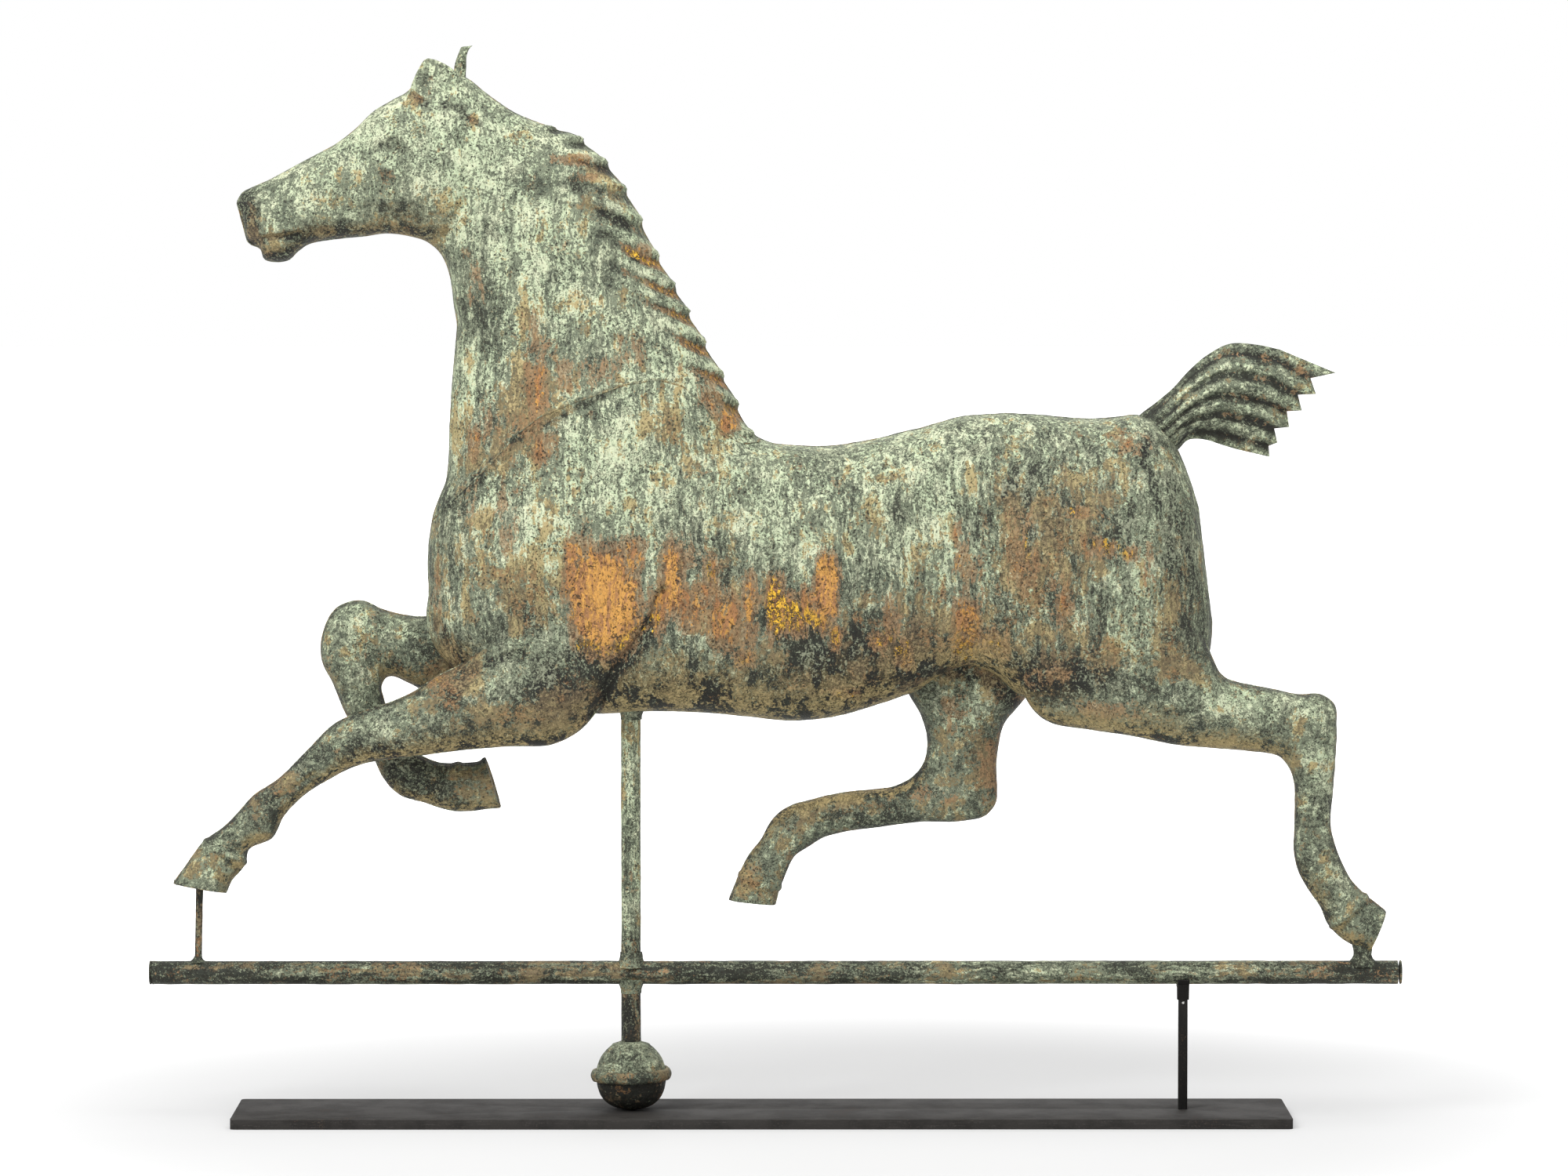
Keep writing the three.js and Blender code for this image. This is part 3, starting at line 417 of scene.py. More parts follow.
body_shells = {}
neck_shells = {}
neck_joints = {}
for side, word in ((-1, "left"), (1, "right")):
    points, rise = drawn_sheet(BODY_ROWS, BODY_LINES, BODY_COLUMNS, side)
    joint = led_along(points, NECK_SEAM)
    strength, phase, inwards = mane_locks(points)
    lock = lock_height(phase)
    strand = np.sin(2 * np.pi * MANE_STRANDS * phase)
    relief = muscled(points, side) + hammered(points, HAMMER_SEED)
    relief *= smooth_step(0, FADE_AT_SEAM, rise)
    locks = strength * (MANE_RELIEF * (lock - MANE_RELIEF_LEVEL) + MANE_STRAND_RELIEF * strand)
    relief += locks * smooth_step(0, MANE_FADE_AT_SEAM, rise)
    at_crest = np.exp(-(inwards / MANE_TOOTH_REACH) ** 2)
    tooth = MANE_TOOTH * (lock - MANE_TOOTH_LEVEL) * strength * at_crest
    chord = points[:, -1, :] - points[:, 0, :]
    chord[:, 1] = 0
    chord /= np.linalg.norm(chord, axis=-1, keepdims=True)
    points = points + chord[:, None, :] * tooth[..., None]
    normals = sheet_normals(points, side)
    neck_joints[word] = (points + normals * relief[..., None])[joint]
    pull = NECK_PULL * (points[joint + 1] - points[joint - 1])
    neck, barrel = points[:joint + 1].copy(), points[joint:].copy()
    neck[-1] -= pull
    barrel[0] += pull
    notch = (strength * (1 - smooth_step(*NOTCH_FADE, lock)))[:joint + 1]
    neck_shells[word] = beaten_sheet(
        f"neck_{word}_half", neck, normals[:joint + 1], relief[:joint + 1], notch)
    body_shells[word] = beaten_sheet(f"body_{word}_half", barrel, normals[joint:], relief[joint:])
body_edge = rim_of(points)
body_edge[:, 1] = 0

# Legs: each is two half shells of sheet copper, soldered along their own middle and let into the
# body. Near a joint with the body both skins swell together, as where one is worked smooth.
# Each row: as the body's, and then how far the leg's middle stands off the horse's middle.
LEG_ROWS = {
    "left_foreleg": [
        (815, 800, 700, 700, 0, 38), (800, 840, 650, 770, 34, 40), (768, 893, 620, 815, 42, 40),
        (735, 930, 588, 844, 41, 39), (706, 944, 560, 858, 38, 38), (652, 947, 530, 878, 33, 37),
        (590, 952, 499, 892, 30, 36), (523, 961, 465, 904, 27, 33), (463, 970, 425, 922, 24, 30),
        (423, 988, 388, 959, 22, 26), (386, 1012, 354, 992, 20, 22),
        (361, 1038, 324, 1012, 21, 18), (346, 1066, 303, 1035, 23, 14),
        (317, 1080, 284, 1054, 22, 10), (310, 1102, 258, 1073, 21, 6),
        (294, 1121, 240, 1097, 22, 3), (286, 1138, 219, 1126, 23, 0),
    ],
    "right_foreleg": [
        (660, 890, 640, 800, 0, 34), (625, 900, 600, 788, 28, 36), (580, 892, 556, 787, 30, 38),
        (545, 884, 524, 787, 30, 38), (520, 872, 490, 780, 29, 38), (500, 863, 455, 767, 27, 38),
        (490, 864, 427, 776, 26, 37), (484, 872, 410, 806, 25, 36), (483, 882, 408, 842, 24, 36),
        (487, 896, 422, 872, 22, 36), (499, 922, 438, 910, 20, 36), (513, 945, 458, 943, 18, 36),
        (527, 961, 474, 968, 18, 36), (540, 969, 486, 993, 19, 36), (557, 975, 505, 1014, 20, 36),
        (580, 976, 538, 1025, 21, 36), (602, 975, 571, 1035, 22, 36), (616, 968, 636, 1032, 22, 36),
    ],
    "left_hind_leg": [
        (1290, 800, 1400, 640, 0, 36), (1300, 870, 1450, 690, 36, 36),
        (1334, 915, 1500, 745, 45, 36), (1388, 926, 1528, 800, 46, 36),
        (1442, 934, 1543, 835, 43, 36), (1496, 945, 1555, 857, 39, 35),
        (1550, 950, 1576, 867, 35, 34), (1595, 954, 1621, 876, 31, 32),
        (1623, 958, 1654, 883, 29, 30), (1637, 967, 1685, 884, 28, 28),
        (1645, 979, 1699, 895, 27, 27), (1650, 996, 1702, 924, 26, 26),
        (1651, 1022, 1701, 965, 23, 24), (1651, 1055, 1698, 1010, 21, 21),
        (1651, 1087, 1696, 1052, 20, 18), (1657, 1110, 1702, 1077, 21, 14),
        (1669, 1132, 1711, 1099, 22, 10), (1685, 1155, 1724, 1123, 22, 7),
        (1696, 1179, 1742, 1141, 23, 4), (1723, 1203, 1757, 1153, 23, 1),
        (1748, 1214, 1769, 1163, 22, 0),
    ],
    "right_hind_leg": [
        (1170, 740, 1330, 780, 0, 36), (1150, 800, 1345, 830, 40, 36),
        (1146, 850, 1325, 870, 43, 36), (1161, 888, 1298, 903, 42, 36),
        (1175, 912, 1280, 926, 38, 36), (1183, 937, 1274, 951, 34, 36),
        (1183, 962, 1271, 980, 31, 36), (1176, 981, 1272, 1005, 29, 36),
        (1163, 995, 1271, 1024, 28, 36), (1143, 1005, 1259, 1041, 26, 36),
        (1120, 1009, 1226, 1049, 24, 36), (1090, 1012, 1176, 1050, 22, 36),
        (1062, 1016, 1120, 1057, 21, 36), (1034, 1023, 1076, 1063, 21, 36),
        (1007, 1031, 1050, 1070, 22, 36), (985, 1048, 1032, 1081, 22, 36),
        (971, 1073, 1012, 1095, 21, 36), (954, 1095, 1002, 1115, 21, 36),
        (942, 1119, 993, 1138, 22, 36), (929, 1151, 988, 1157, 23, 36),
    ],
}

# Bones, tendons, knees and the bands above the hooves, drawn as the body's swells and hollows are
LEG_FORMS = [
    ([(440, 948), (455, 935)], 14, 3), ([(560, 900), (690, 880)], 22, 3),
    ([(400, 985), (350, 1020)], 5, -2.5), ([(330, 1045), (338, 1062)], 9, 3),
    ([(258, 1070), (312, 1100)], 5, 3), ([(250, 1080), (303, 1110)], 4, -2),
    ([(430, 800), (424, 840)], 14, 3), ([(452, 880), (486, 950)], 4, -2.2),
    ([(535, 1020), (582, 976)], 5, 2.5), ([(1670, 905), (1688, 935)], 12, 3.5),
    ([(1668, 985), (1668, 1075)], 4.5, -3), ([(1690, 1105)], 12, 2.5),
    ([(1697, 1186), (1746, 1140)], 5, 3), ([(1703, 1192), (1750, 1148)], 4, -2),
    ([(1460, 880), (1600, 915)], 16, 3), ([(1240, 1025)], 15, 3.5),
    ([(1212, 900), (1225, 985)], 15, 2.5), ([(1160, 1030), (1030, 1045)], 4.5, -2.5),
    ([(985, 1075)], 12, 2.5), ([(944, 1118), (996, 1136)], 5, 2.6),
    ([(940, 1128), (992, 1146)], 4, -2),
]
LEG_SOLE_LINES = 10
LEG_LINES = 241
LEG_COLUMNS = 71
LEG_BEATING = 0.8
LEG_SEED = 31
LEG_BLENDS = {"left_foreleg": 26, "right_foreleg": 24, "left_hind_leg": 36, "right_hind_leg": 30}
ELBOW_BLEND = 3
ELBOW_FADE = (0.1, 0.6)


def facing_tree(points):
    quads = quads_of(numbered(*points.shape[:2]))
    return BVHTree.FromPolygons(points.reshape(-1, 3).tolist(), quads.tolist())


def met_from_side(skin, x, z, side):
    """Where a straight look from the horse's side at this place first meets a skin."""
    return skin.ray_cast(Vector((x, side, z)), Vector((0, -side, 0)))


def swell(own, other, reach):
    """How far two skins rise together where their depths are closer than the reach."""
    near = max(1 - abs(own - other) / reach, 0) if reach > 1e-6 else 0
    return near * near * reach / 4


def blended(leg, points, rise, body, side):
    """Lifts a leg's outer skin and the body's skin together where the two lie close."""
    reach = LEG_BLENDS[leg] * SHARE * np.repeat(rise[None, :], len(points), axis=0)
    if leg == "left_foreleg":
        rear = 1 - smooth_step(*ELBOW_FADE, np.linspace(0, 1, LEG_COLUMNS))
        reach += (ELBOW_BLEND * SHARE * rise - reach) * rear
    body_skin = BVHTree.FromObject(body, bpy.context.evaluated_depsgraph_get())
    leg_skin = facing_tree(points)
    for index in np.ndindex(reach.shape):
        x, y, z = points[index]
        hit = met_from_side(body_skin, x, z, side)[0]
        if hit is not None:
            points[index][1] += side * swell(side * y, side * hit.y, reach[index])
    for vertex in body.data.vertices:
        x, y, z = vertex.co
        hit, _, quad, _ = met_from_side(leg_skin, x, z, side)
        if hit is not None:
            near = reach[divmod(quad, LEG_COLUMNS - 1)]
            vertex.co.y += side * swell(side * y, side * hit.y, near)


leg_shells = {}
leg_seams = {}
for leg, rows in LEG_ROWS.items():
    side = -1 if leg.startswith("left") else 1
    signed_rows = [row[:5] + (side * row[5],) for row in rows]
    for face, towards in (("outer", side), ("inner", -side)):
        points, rise = drawn_sheet(signed_rows, LEG_LINES, LEG_COLUMNS, towards, LEG_SOLE_LINES)
        beaten = hammered(points, LEG_SEED + len(leg_shells))
        relief = formed(points, LEG_FORMS) + LEG_BEATING * beaten
        if face == "outer":
            relief += muscled(points, side)
            blended(leg, points, rise, body_shells["left" if side < 0 else "right"], side)
        relief *= smooth_step(0, FADE_AT_SEAM, rise)
        relief[-LEG_SOLE_LINES:] = 0
        leg_shells[f"{leg}_{face}_shell"] = beaten_sheet(
            f"{leg}_{face}_half", points, sheet_normals(points, towards), relief)
    leg_seams[leg] = points

# Ears: small cups of thin copper, soldered on behind the poll. The left one is worn down to a
# stub and the right one stands thin and upright with its tip bent back.
EAR_ROWS = {
    "left_ear": [
        (526, 126, 598, 122, 10, -20), (526, 113, 596, 111, 10, -20), (531, 99, 590, 101, 10, -20),
        (537, 87, 580, 89, 8, -21), (542, 79, 571, 83, 5, -22), (548, 75, 558, 77, 0, -22),
    ],
    "right_ear": [
        (572, 120, 601, 122, 6, 18), (575, 108, 598, 110, 6, 18), (578, 99, 595, 101, 6, 18),
        (581, 80, 595, 84, 5, 19), (586, 66, 596, 69, 4, 20), (589, 60, 599, 62, 2, 20),
        (596, 59, 603, 58, 0, 20),
    ],
}
EAR_LINES = 61
EAR_COLUMNS = 31
EAR_HOLLOW = 0.0018
EAR_BEATING = 0.3
EAR_SEED = 51
EAR_FADE_AT_EDGE = 0.4


def cupped_ear(name, rows, hollow_side):
    """Both faces of the ear in one closed skin; one face is pressed in along its middle."""
    along = np.sin(np.linspace(0, np.pi, EAR_LINES))[:, None] ** 0.5
    grids = []
    for side in (-1, 1):
        points, rise = drawn_sheet(rows, EAR_LINES, EAR_COLUMNS, side)
        points[..., 1] -= side * SEAM_GAP / 2
        press = EAR_HOLLOW * rise**2 * along * (side == hollow_side)
        relief = EAR_BEATING * hammered(points, EAR_SEED) - press
        relief *= smooth_step(0, EAR_FADE_AT_EDGE, rise)
        grids.append((points + sheet_normals(points, side) * relief[..., None]).reshape(-1, 3))
    number = numbered(EAR_LINES, EAR_COLUMNS)
    quads = quads_of(number)
    faces = quads.tolist() + (quads[:, ::-1] + number.size).tolist()
    for line in (number[0].tolist(), number[-1, ::-1].tolist()):
        for near, far in zip(line, line[1:]):
            faces.append((far, near, near + number.size, far + number.size))
    return finished(name, np.vstack(grids), faces)


ears = {name: cupped_ear(f"{name}_cup", rows, -1 if name == "left_ear" else 1)
        for name, rows in EAR_ROWS.items()}

# Tail: two half shells of sheet copper with five long grooves between its locks. Each lock runs
# out into a point, and the points step back from the top of the tail to its lower edge.
TAIL_ROWS = [
    (1452, 585, 1436, 545, 0), (1470, 590, 1452, 528, 20), (1500, 573, 1474, 511, 25),
    (1512, 561, 1494, 494, 27), (1525, 558, 1515, 471, 28), (1540, 560, 1537, 452, 29),
    (1552, 564, 1567, 437, 29), (1575, 571, 1600, 438, 26), (1592, 575, 1630, 444, 20),
]
TAIL_TIPS = [
    (1618, 581), (1617, 567), (1628, 563), (1624, 545), (1643, 543), (1640, 523),
    (1659, 522), (1654, 502), (1677, 501), (1670, 481), (1702, 474),
]
TAIL_LINES = 91
TAIL_TIP_LINES = 30
TAIL_COLUMNS = 101
TAIL_BEATING = 0.6
TAIL_SEED = 61
TAIL_FADE_AT_SEAM = 0.3
TAIL_GROOVE = 0.34
TAIL_GROOVE_START = 0.7
TAIL_GROOVE_EDGE = 1.4
TAIL_TIP_THINNING = 1.6
TAIL_STRAND = 0.00035
TAIL_STRANDS = 3.5
TAIL_SMOOTH_END = 6


def grooved_tail(name, side):
    points, rise = drawn_sheet(TAIL_ROWS, TAIL_LINES, TAIL_COLUMNS, side, even=True)
    seam_y = side * SEAM_GAP / 2
    locks = len(TAIL_TIPS) - 1
    lock = np.linspace(0, 1, TAIL_COLUMNS) * locks
    groove_line = (1 - np.cos(np.pi * lock)) / 2
    start = np.linspace(0, 1, TAIL_LINES)[:, None] ** TAIL_GROOVE_START
    left = 1 - TAIL_GROOVE * start * groove_line**TAIL_GROOVE_EDGE
    points[..., 1] = seam_y + (points[..., 1] - seam_y) * left
    across, down = (np.interp(lock, range(locks + 1), row) for row in np.array(TAIL_TIPS, float).T)
    end = np.stack([grid_x(across), np.full(TAIL_COLUMNS, seam_y), grid_z(down)], axis=-1)
    part = np.linspace(0, 1, TAIL_TIP_LINES + 1)[1:, None, None]
    last = points[-1]
    run = last + (end - last) * part
    run[..., 1] = seam_y + (last[:, 1] - seam_y) * (1 - part[..., 0] ** TAIL_TIP_THINNING)
    points = np.vstack([points, run])
    strand = np.sin(np.pi * TAIL_STRANDS * lock) * np.linspace(0.3, 1, len(points))[:, None]
    relief = TAIL_BEATING * hammered(points, TAIL_SEED) + TAIL_STRAND * strand
    relief *= smooth_step(0, TAIL_FADE_AT_SEAM, rise)
    relief[-TAIL_SMOOTH_END:] *= np.linspace(1, 0, TAIL_SMOOTH_END)[:, None]
    hollow = np.linspace(0.2, 1, len(points))[:, None] * groove_line**2
    return beaten_sheet(name, points, sheet_normals(points, side), relief, hollow)


tail_shells = {
    "left": grooved_tail("tail_left_half", -1), "right": grooved_tail("tail_right_half", 1)}

# Finish of the copper: a brown-black skin under grey-green and pale green crusts that have run down
# in streaks, with the old gilding showing where the crust has flaked away. Where each layer is
# thickest is laid on the sheets in soft places; the layers themselves are grown in the
# material.
# Each place: across, down, half its width, half its height, how much
WEATHERED_PLACES = {
    "gilding": [
        (772, 758, 48, 72, 1.04), (800, 704, 28, 26, 0.62), (738, 712, 18, 40, 0.6),
        (858, 735, 18, 56, 0.76), (840, 775, 14, 44, 0.6), (882, 770, 24, 36, 0.58),
        (905, 735, 14, 40, 0.56), (925, 785, 24, 46, 0.66), (956, 770, 14, 60, 0.7),
        (950, 830, 20, 22, 0.5), (988, 768, 16, 50, 0.64), (1012, 778, 26, 36, 0.56),
        (1054, 744, 18, 48, 0.98), (1048, 780, 18, 24, 0.7), (1064, 806, 10, 24, 0.6),
        (1030, 770, 12, 24, 0.7), (1136, 780, 16, 46, 0.54), (1150, 830, 16, 26, 0.6),
        (1120, 812, 20, 14, 0.5), (1222, 700, 10, 50, 0.6), (1230, 798, 22, 50, 0.74),
        (1240, 740, 10, 40, 0.5), (872, 690, 30, 30, 0.36), (1402, 692, 34, 20, 0.46),
        (1365, 648, 20, 10, 0.5), (1300, 700, 24, 60, 0.42), (1352, 760, 20, 50, 0.4),
        (1250, 815, 50, 30, 0.46), (1335, 860, 50, 24, 0.34), (1460, 720, 10, 40, 0.4),
        (1436, 700, 16, 16, 0.5), (690, 490, 16, 62, 0.5), (640, 545, 40, 40, 0.36),
        (722, 475, 14, 30, 0.54), (606, 560, 12, 30, 0.46), (650, 665, 18, 50, 0.4),
        (600, 640, 14, 40, 0.4), (560, 745, 12, 50, 0.36), (700, 560, 20, 30, 0.4),
        (905, 500, 18, 34, 0.5), (930, 534, 16, 18, 0.74), (820, 318, 14, 12, 0.6),
        (610, 360, 12, 40, 0.44), (735, 203, 34, 9, 0.5), (748, 226, 24, 8, 0.45),
        (760, 470, 40, 30, 0.34), (800, 450, 30, 30, 0.3), (562, 862, 22, 12, 0.5),
        (1238, 1000, 34, 40, 0.44), (1160, 1030, 40, 14, 0.4), (1215, 900, 30, 20, 0.4),
        (685, 430, 14, 50, 0.4), (1450, 560, 40, 18, 0.3), (545, 110, 14, 16, 0.3),
        (1080, 880, 26, 12, 0.5), (300, 1075, 24, 24, 0.25), (660, 940, 60, 14, 0.25),
        (1405, 900, 60, 16, 0.42), (620, 1025, 24, 14, 0.3), (430, 870, 14, 26, 0.34),
        (975, 1120, 16, 24, 0.3), (1290, 900, 30, 20, 0.44), (1195, 930, 24, 40, 0.4),
    ],
    "brown": [
        (955, 1130, 40, 30, 0.14), (536, 126, 12, 8, 0.3), (605, 152, 12, 8, 0.3),
        (540, 170, 18, 10, 0.2), (610, 330, 20, 50, 0.16), (690, 500, 40, 80, 0.22),
        (640, 550, 55, 55, 0.25), (680, 740, 60, 60, 0.22), (930, 780, 100, 60, 0.18),
        (1330, 720, 60, 90, 0.28), (1380, 640, 50, 40, 0.1), (1400, 830, 40, 30, 0.2),
        (1240, 800, 60, 50, 0.16), (1140, 790, 60, 60, 0.24), (570, 860, 40, 30, 0.35),
        (1120, 620, 50, 50, 0.1), (860, 540, 50, 40, 0.16), (600, 700, 30, 60, 0.15),
        (1500, 850, 40, 30, 0.16), (1260, 960, 30, 60, 0.26), (900, 590, 50, 30, 0.12),
        (760, 215, 30, 14, 0.2), (320, 270, 10, 20, 0.2), (470, 830, 50, 30, 0.14),
        (330, 1010, 50, 40, 0.1), (640, 900, 70, 20, 0.12), (1480, 800, 24, 60, 0.16),
        (580, 1000, 60, 30, 0.1), (1110, 1030, 90, 20, 0.14), (720, 900, 60, 30, 0.2),
    ],
    "pale": [
        (1560, 885, 60, 26, 0.16), (1690, 950, 34, 80, 0.14), (1225, 900, 26, 40, 0.14),
        (450, 850, 30, 60, 0.12), (760, 200, 30, 20, 0.1), (800, 275, 30, 30, 0.14),
        (835, 345, 26, 40, 0.14), (905, 480, 26, 50, 0.12), (1100, 750, 26, 50, 0.06),
        (905, 800, 16, 50, 0.16), (1000, 690, 30, 40, 0.1), (480, 930, 50, 30, 0.12),
        (300, 1080, 30, 30, 0.1), (1010, 1010, 30, 60, 0.08), (820, 660, 30, 50, 0.08),
        (630, 900, 60, 16, 0.08), (1205, 690, 26, 90, 0.12), (1450, 770, 30, 90, 0.2),
        (1265, 700, 16, 60, 0.12), (1410, 815, 30, 30, 0.12), (1290, 790, 30, 60, 0.1),
        (560, 560, 30, 60, 0.08), (672, 350, 60, 60, 0.08), (700, 740, 20, 60, 0.1),
        (870, 835, 30, 30, 0.14), (1010, 620, 90, 60, 0.06), (1200, 590, 90, 50, 0.08),
        (560, 165, 90, 60, 0.06), (600, 240, 60, 60, 0.08), (760, 570, 60, 50, 0.12),
        (1500, 600, 26, 70, 0.1), (690, 690, 30, 30, 0.18), (940, 610, 50, 50, 0.1),
        (720, 330, 60, 90, 0.08), (600, 480, 30, 60, 0.1), (1452, 700, 14, 70, 0.2),
        (865, 420, 40, 90, 0.16), (1170, 750, 40, 30, 0.05), (630, 860, 50, 30, 0.12),
        (1600, 900, 60, 30, 0.14), (1685, 960, 30, 50, 0.18), (700, 820, 40, 30, 0.12),
        (440, 170, 60, 30, 0.10), (450, 800, 40, 30, 0.06), (1250, 890, 20, 20, 0.2),
        (790, 600, 30, 60, 0.10), (1010, 840, 50, 20, 0.1), (1700, 1120, 30, 40, 0.1),
        (1235, 910, 26, 22, 0.16),
    ],
    # The dark place at 530 across and 1000 down, low on the far foreleg, is painted shade; the
    # other dark places are dark patches of the patina.
    "dark": [
        (675, 785, 40, 24, 0.24), (1275, 625, 40, 40, 0.12), (930, 645, 30, 26, 0.08),
        (1165, 665, 40, 40, 0.07), (745, 828, 24, 16, 0.26), (560, 200, 60, 40, 0.04),
        (1000, 600, 120, 30, 0.04), (1080, 660, 60, 30, 0.06), (1260, 700, 60, 60, 0.06),
        (365, 328, 40, 10, 0.5), (1390, 600, 90, 60, 0.08), (1480, 640, 24, 70, 0.12),
        (1560, 545, 60, 26, 0.14), (1000, 850, 40, 30, 0.02), (925, 720, 14, 40, 0.2),
        (1090, 780, 18, 60, 0.2), (985, 728, 12, 40, 0.2), (700, 850, 30, 30, 0.14),
        (1170, 760, 16, 60, 0.14), (1270, 760, 16, 60, 0.14), (1395, 780, 16, 60, 0.14),
        (1075, 830, 60, 36, 0.22), (1290, 640, 36, 50, 0.16), (1320, 840, 50, 24, 0.16),
        (1168, 820, 30, 30, 0.2), (738, 880, 50, 24, 0.2), (906, 712, 50, 26, 0.14),
        (1400, 850, 60, 20, 0.14), (600, 830, 50, 24, 0.16), (318, 300, 16, 50, 0.5),
        (880, 830, 18, 16, 0.12), (1495, 560, 26, 40, 0.12), (670, 760, 30, 40, 0.1),
        (612, 410, 36, 60, 0.14), (565, 720, 26, 120, 0.18), (1120, 852, 60, 34, 0.34),
        (1440, 850, 100, 60, 0.03), (1335, 862, 56, 26, 0.34), (1026, 790, 24, 26, 0.2),
        (1340, 810, 80, 50, 0.06), (1360, 640, 120, 80, 0.14), (1510, 720, 34, 120, 0.2),
        (720, 870, 70, 40, 0.16), (1000, 700, 40, 30, 0.08), (995, 775, 26, 40, 0.3),
        (765, 262, 36, 26, 0.12), (1050, 860, 120, 30, 0.18), (900, 680, 40, 50, 0.1),
        (660, 260, 40, 40, 0.05), (1300, 560, 60, 20, 0.05), (1480, 760, 60, 70, 0.14),
        (350, 1000, 80, 80, 0.14), (530, 1000, 60, 30, 0.22), (490, 960, 40, 24, 0.3),
        (320, 288, 12, 36, 0.5), (350, 326, 36, 10, 0.4), (470, 296, 90, 8, 0.3),
        (1040, 1040, 120, 20, 0.14), (1690, 1080, 40, 90, 0.06), (600, 600, 30, 60, 0.12),
        (1410, 690, 90, 50, 0.12), (600, 930, 120, 40, 0.12), (1230, 960, 50, 70, 0.04),
        (880, 870, 60, 30, 0.2),
    ],
}

# Dirt gathered in creases, and painted shade in them: the drawn line, its width, how much
DIRT_AND_SHADE_LINES = [
    ([(528, 121), (546, 133)], 4, 0.5), ([(570, 134), (590, 141)], 5, 0.35),
    ([(594, 149), (613, 157)], 4, 0.5),
    ([(757, 908), (769, 880), (788, 846), (812, 815), (832, 784)], 7, 1.1),
    ([(575, 640), (660, 556), (790, 490)], 5, 0.25), ([(775, 868), (815, 812)], 16, 0.35),
    ([(1150, 872), (1190, 850), (1250, 858), (1290, 892)], 7, 0.9),
    ([(560, 790), (588, 850)], 7, 0.4), ([(318, 262), (322, 272)], 5, 0.7),
    ([(321, 309), (345, 303), (386, 299)], 4, 0.6), ([(490, 184), (520, 188)], 5, 0.3),
    ([(604, 846), (668, 826)], 5, 0.2), ([(1460, 560), (1445, 600)], 8, 0.4),
    ([(578, 884), (604, 850)], 7, 0.4), ([(725, 232), (800, 290)], 7, 0.2),
    ([(745, 205), (790, 226)], 4, 0.2), ([(800, 320), (845, 352)], 5, 0.24),
]
GILDED_NOTCHES = (270, 330)
LOWER_BODY = (700, 900)
STILL_HEAD = (180, 430)
STILL_LEGS = (850, 960)
OTHER_SIDE = 34
SHADED_UNDERSIDE = (0.05, 0.7)
TAN_UNDERSIDE = (0.15, 0.75)
SHADED_EDGE_TURN = (0.25, 0.85)


def values_of(items, field, size=3, kind=np.float32):
    values = np.empty(len(items) * size, kind)
    items.foreach_get(field, values)
    return values.reshape(-1, size)


def weathered(piece, shade=0.0, hollow_dirt_and_shade=0.18, hollow_leaf=0.56, rain=1.0, tan=1.0, rim=0.0):
    """Writes on a piece one soft share for each layer of its patina, the dark and pale ones with
    painted shade.
    """
    mesh = piece.data
    points = values_of(mesh.vertices, "co", kind=float)
    across, down = shares_of(points)
    lean = values_of(mesh.vertex_normals, "vector")
    up = lean[:, 2]
    # Painted shade: where a face turns away from the side towards the outline, rim makes it darker
    # and less pale.
    edge = rim * smooth_step(*SHADED_EDGE_TURN, 1 - np.abs(lean[:, 1]))
    layers = {}
    for layer, places in WEATHERED_PLACES.items():
        total = np.zeros(len(across))
        moved = OTHER_SIDE * (points[:, 1] > 0) if layer == "gilding" else 0
        for x, y, half_width, half_height, amount in places:
            apart = np.stack([
                (across - moved - x) / half_width, (down + moved / 2 - y) / half_height])
            if layer == "gilding":
                total = np.maximum(total, amount * np.exp(-(np.abs(apart) ** 3).sum(axis=0)))
            else:
                total += amount * np.exp(-(apart**2).sum(axis=0))
        layers[layer] = total
    # Darker along the creases: dirt and painted shade.
    for line, width, amount in DIRT_AND_SHADE_LINES:
        layers["dark"] += amount * np.exp(-(distance_to(across, down, line) / width) ** 2)
    # Darker and less pale in the notches of the mane and the grooves of the tail: partly dirt
    # gathered there, partly painted shade in the recesses.
    if "hollow" in mesh.attributes:
        notch = values_of(mesh.attributes["hollow"].data, "value", 1)[:, 0]
        layers["dark"] += hollow_dirt_and_shade * notch
        layers["pale"] -= hollow_dirt_and_shade * notch
        layers["gilding"] = np.maximum(
            layers["gilding"], hollow_leaf * notch * smooth_step(*GILDED_NOTCHES, down))
    low = smooth_step(*LOWER_BODY, down)
    below_head = smooth_step(*STILL_HEAD, down)
    head = 1 - below_head
    # Painted shade: faces that turn downwards are made less pale everywhere, and darker and browner
    # on the head.
    under = smooth_step(*SHADED_UNDERSIDE, -up)
    layers["olive"] = smooth_step(*TAN_UNDERSIDE, -up) * (1 - head)
    layers["brown"] += 0.04 * low + 0.12 * head * under
    layers["dark"] += shade + 0.08 * low + 0.36 * head * under + 0.16 * layers["olive"] + edge
    layers["pale"] -= shade + 0.08 * low + 0.10 * under + 0.5 * edge
    layers["olive"] *= tan
    layers["runs"] = rain * (0.6 + 0.4 * below_head * (1 - smooth_step(*STILL_LEGS, down)))
    for layer, values in layers.items():
        marked(mesh, layer, values)


def fed(tree, node, inputs):
    """Links or sets the inputs of a node."""
    for key, value in inputs.items():
        if isinstance(value, bpy.types.NodeSocket):
            tree.links.new(value, node.inputs[key])
        else:
            node.inputs[key].default_value = value


def wire(tree, kind, inputs=None, **settings):
    """One node with its settings, its links and its values."""
    made = tree.nodes.new(kind)
    for name, value in settings.items():
        setattr(made, name, value)
    fed(tree, made, inputs or {})
    return made


def reckon(tree, operation, *values):
    return wire(tree, "ShaderNodeMath", dict(enumerate(values)), operation=operation).outputs[0]


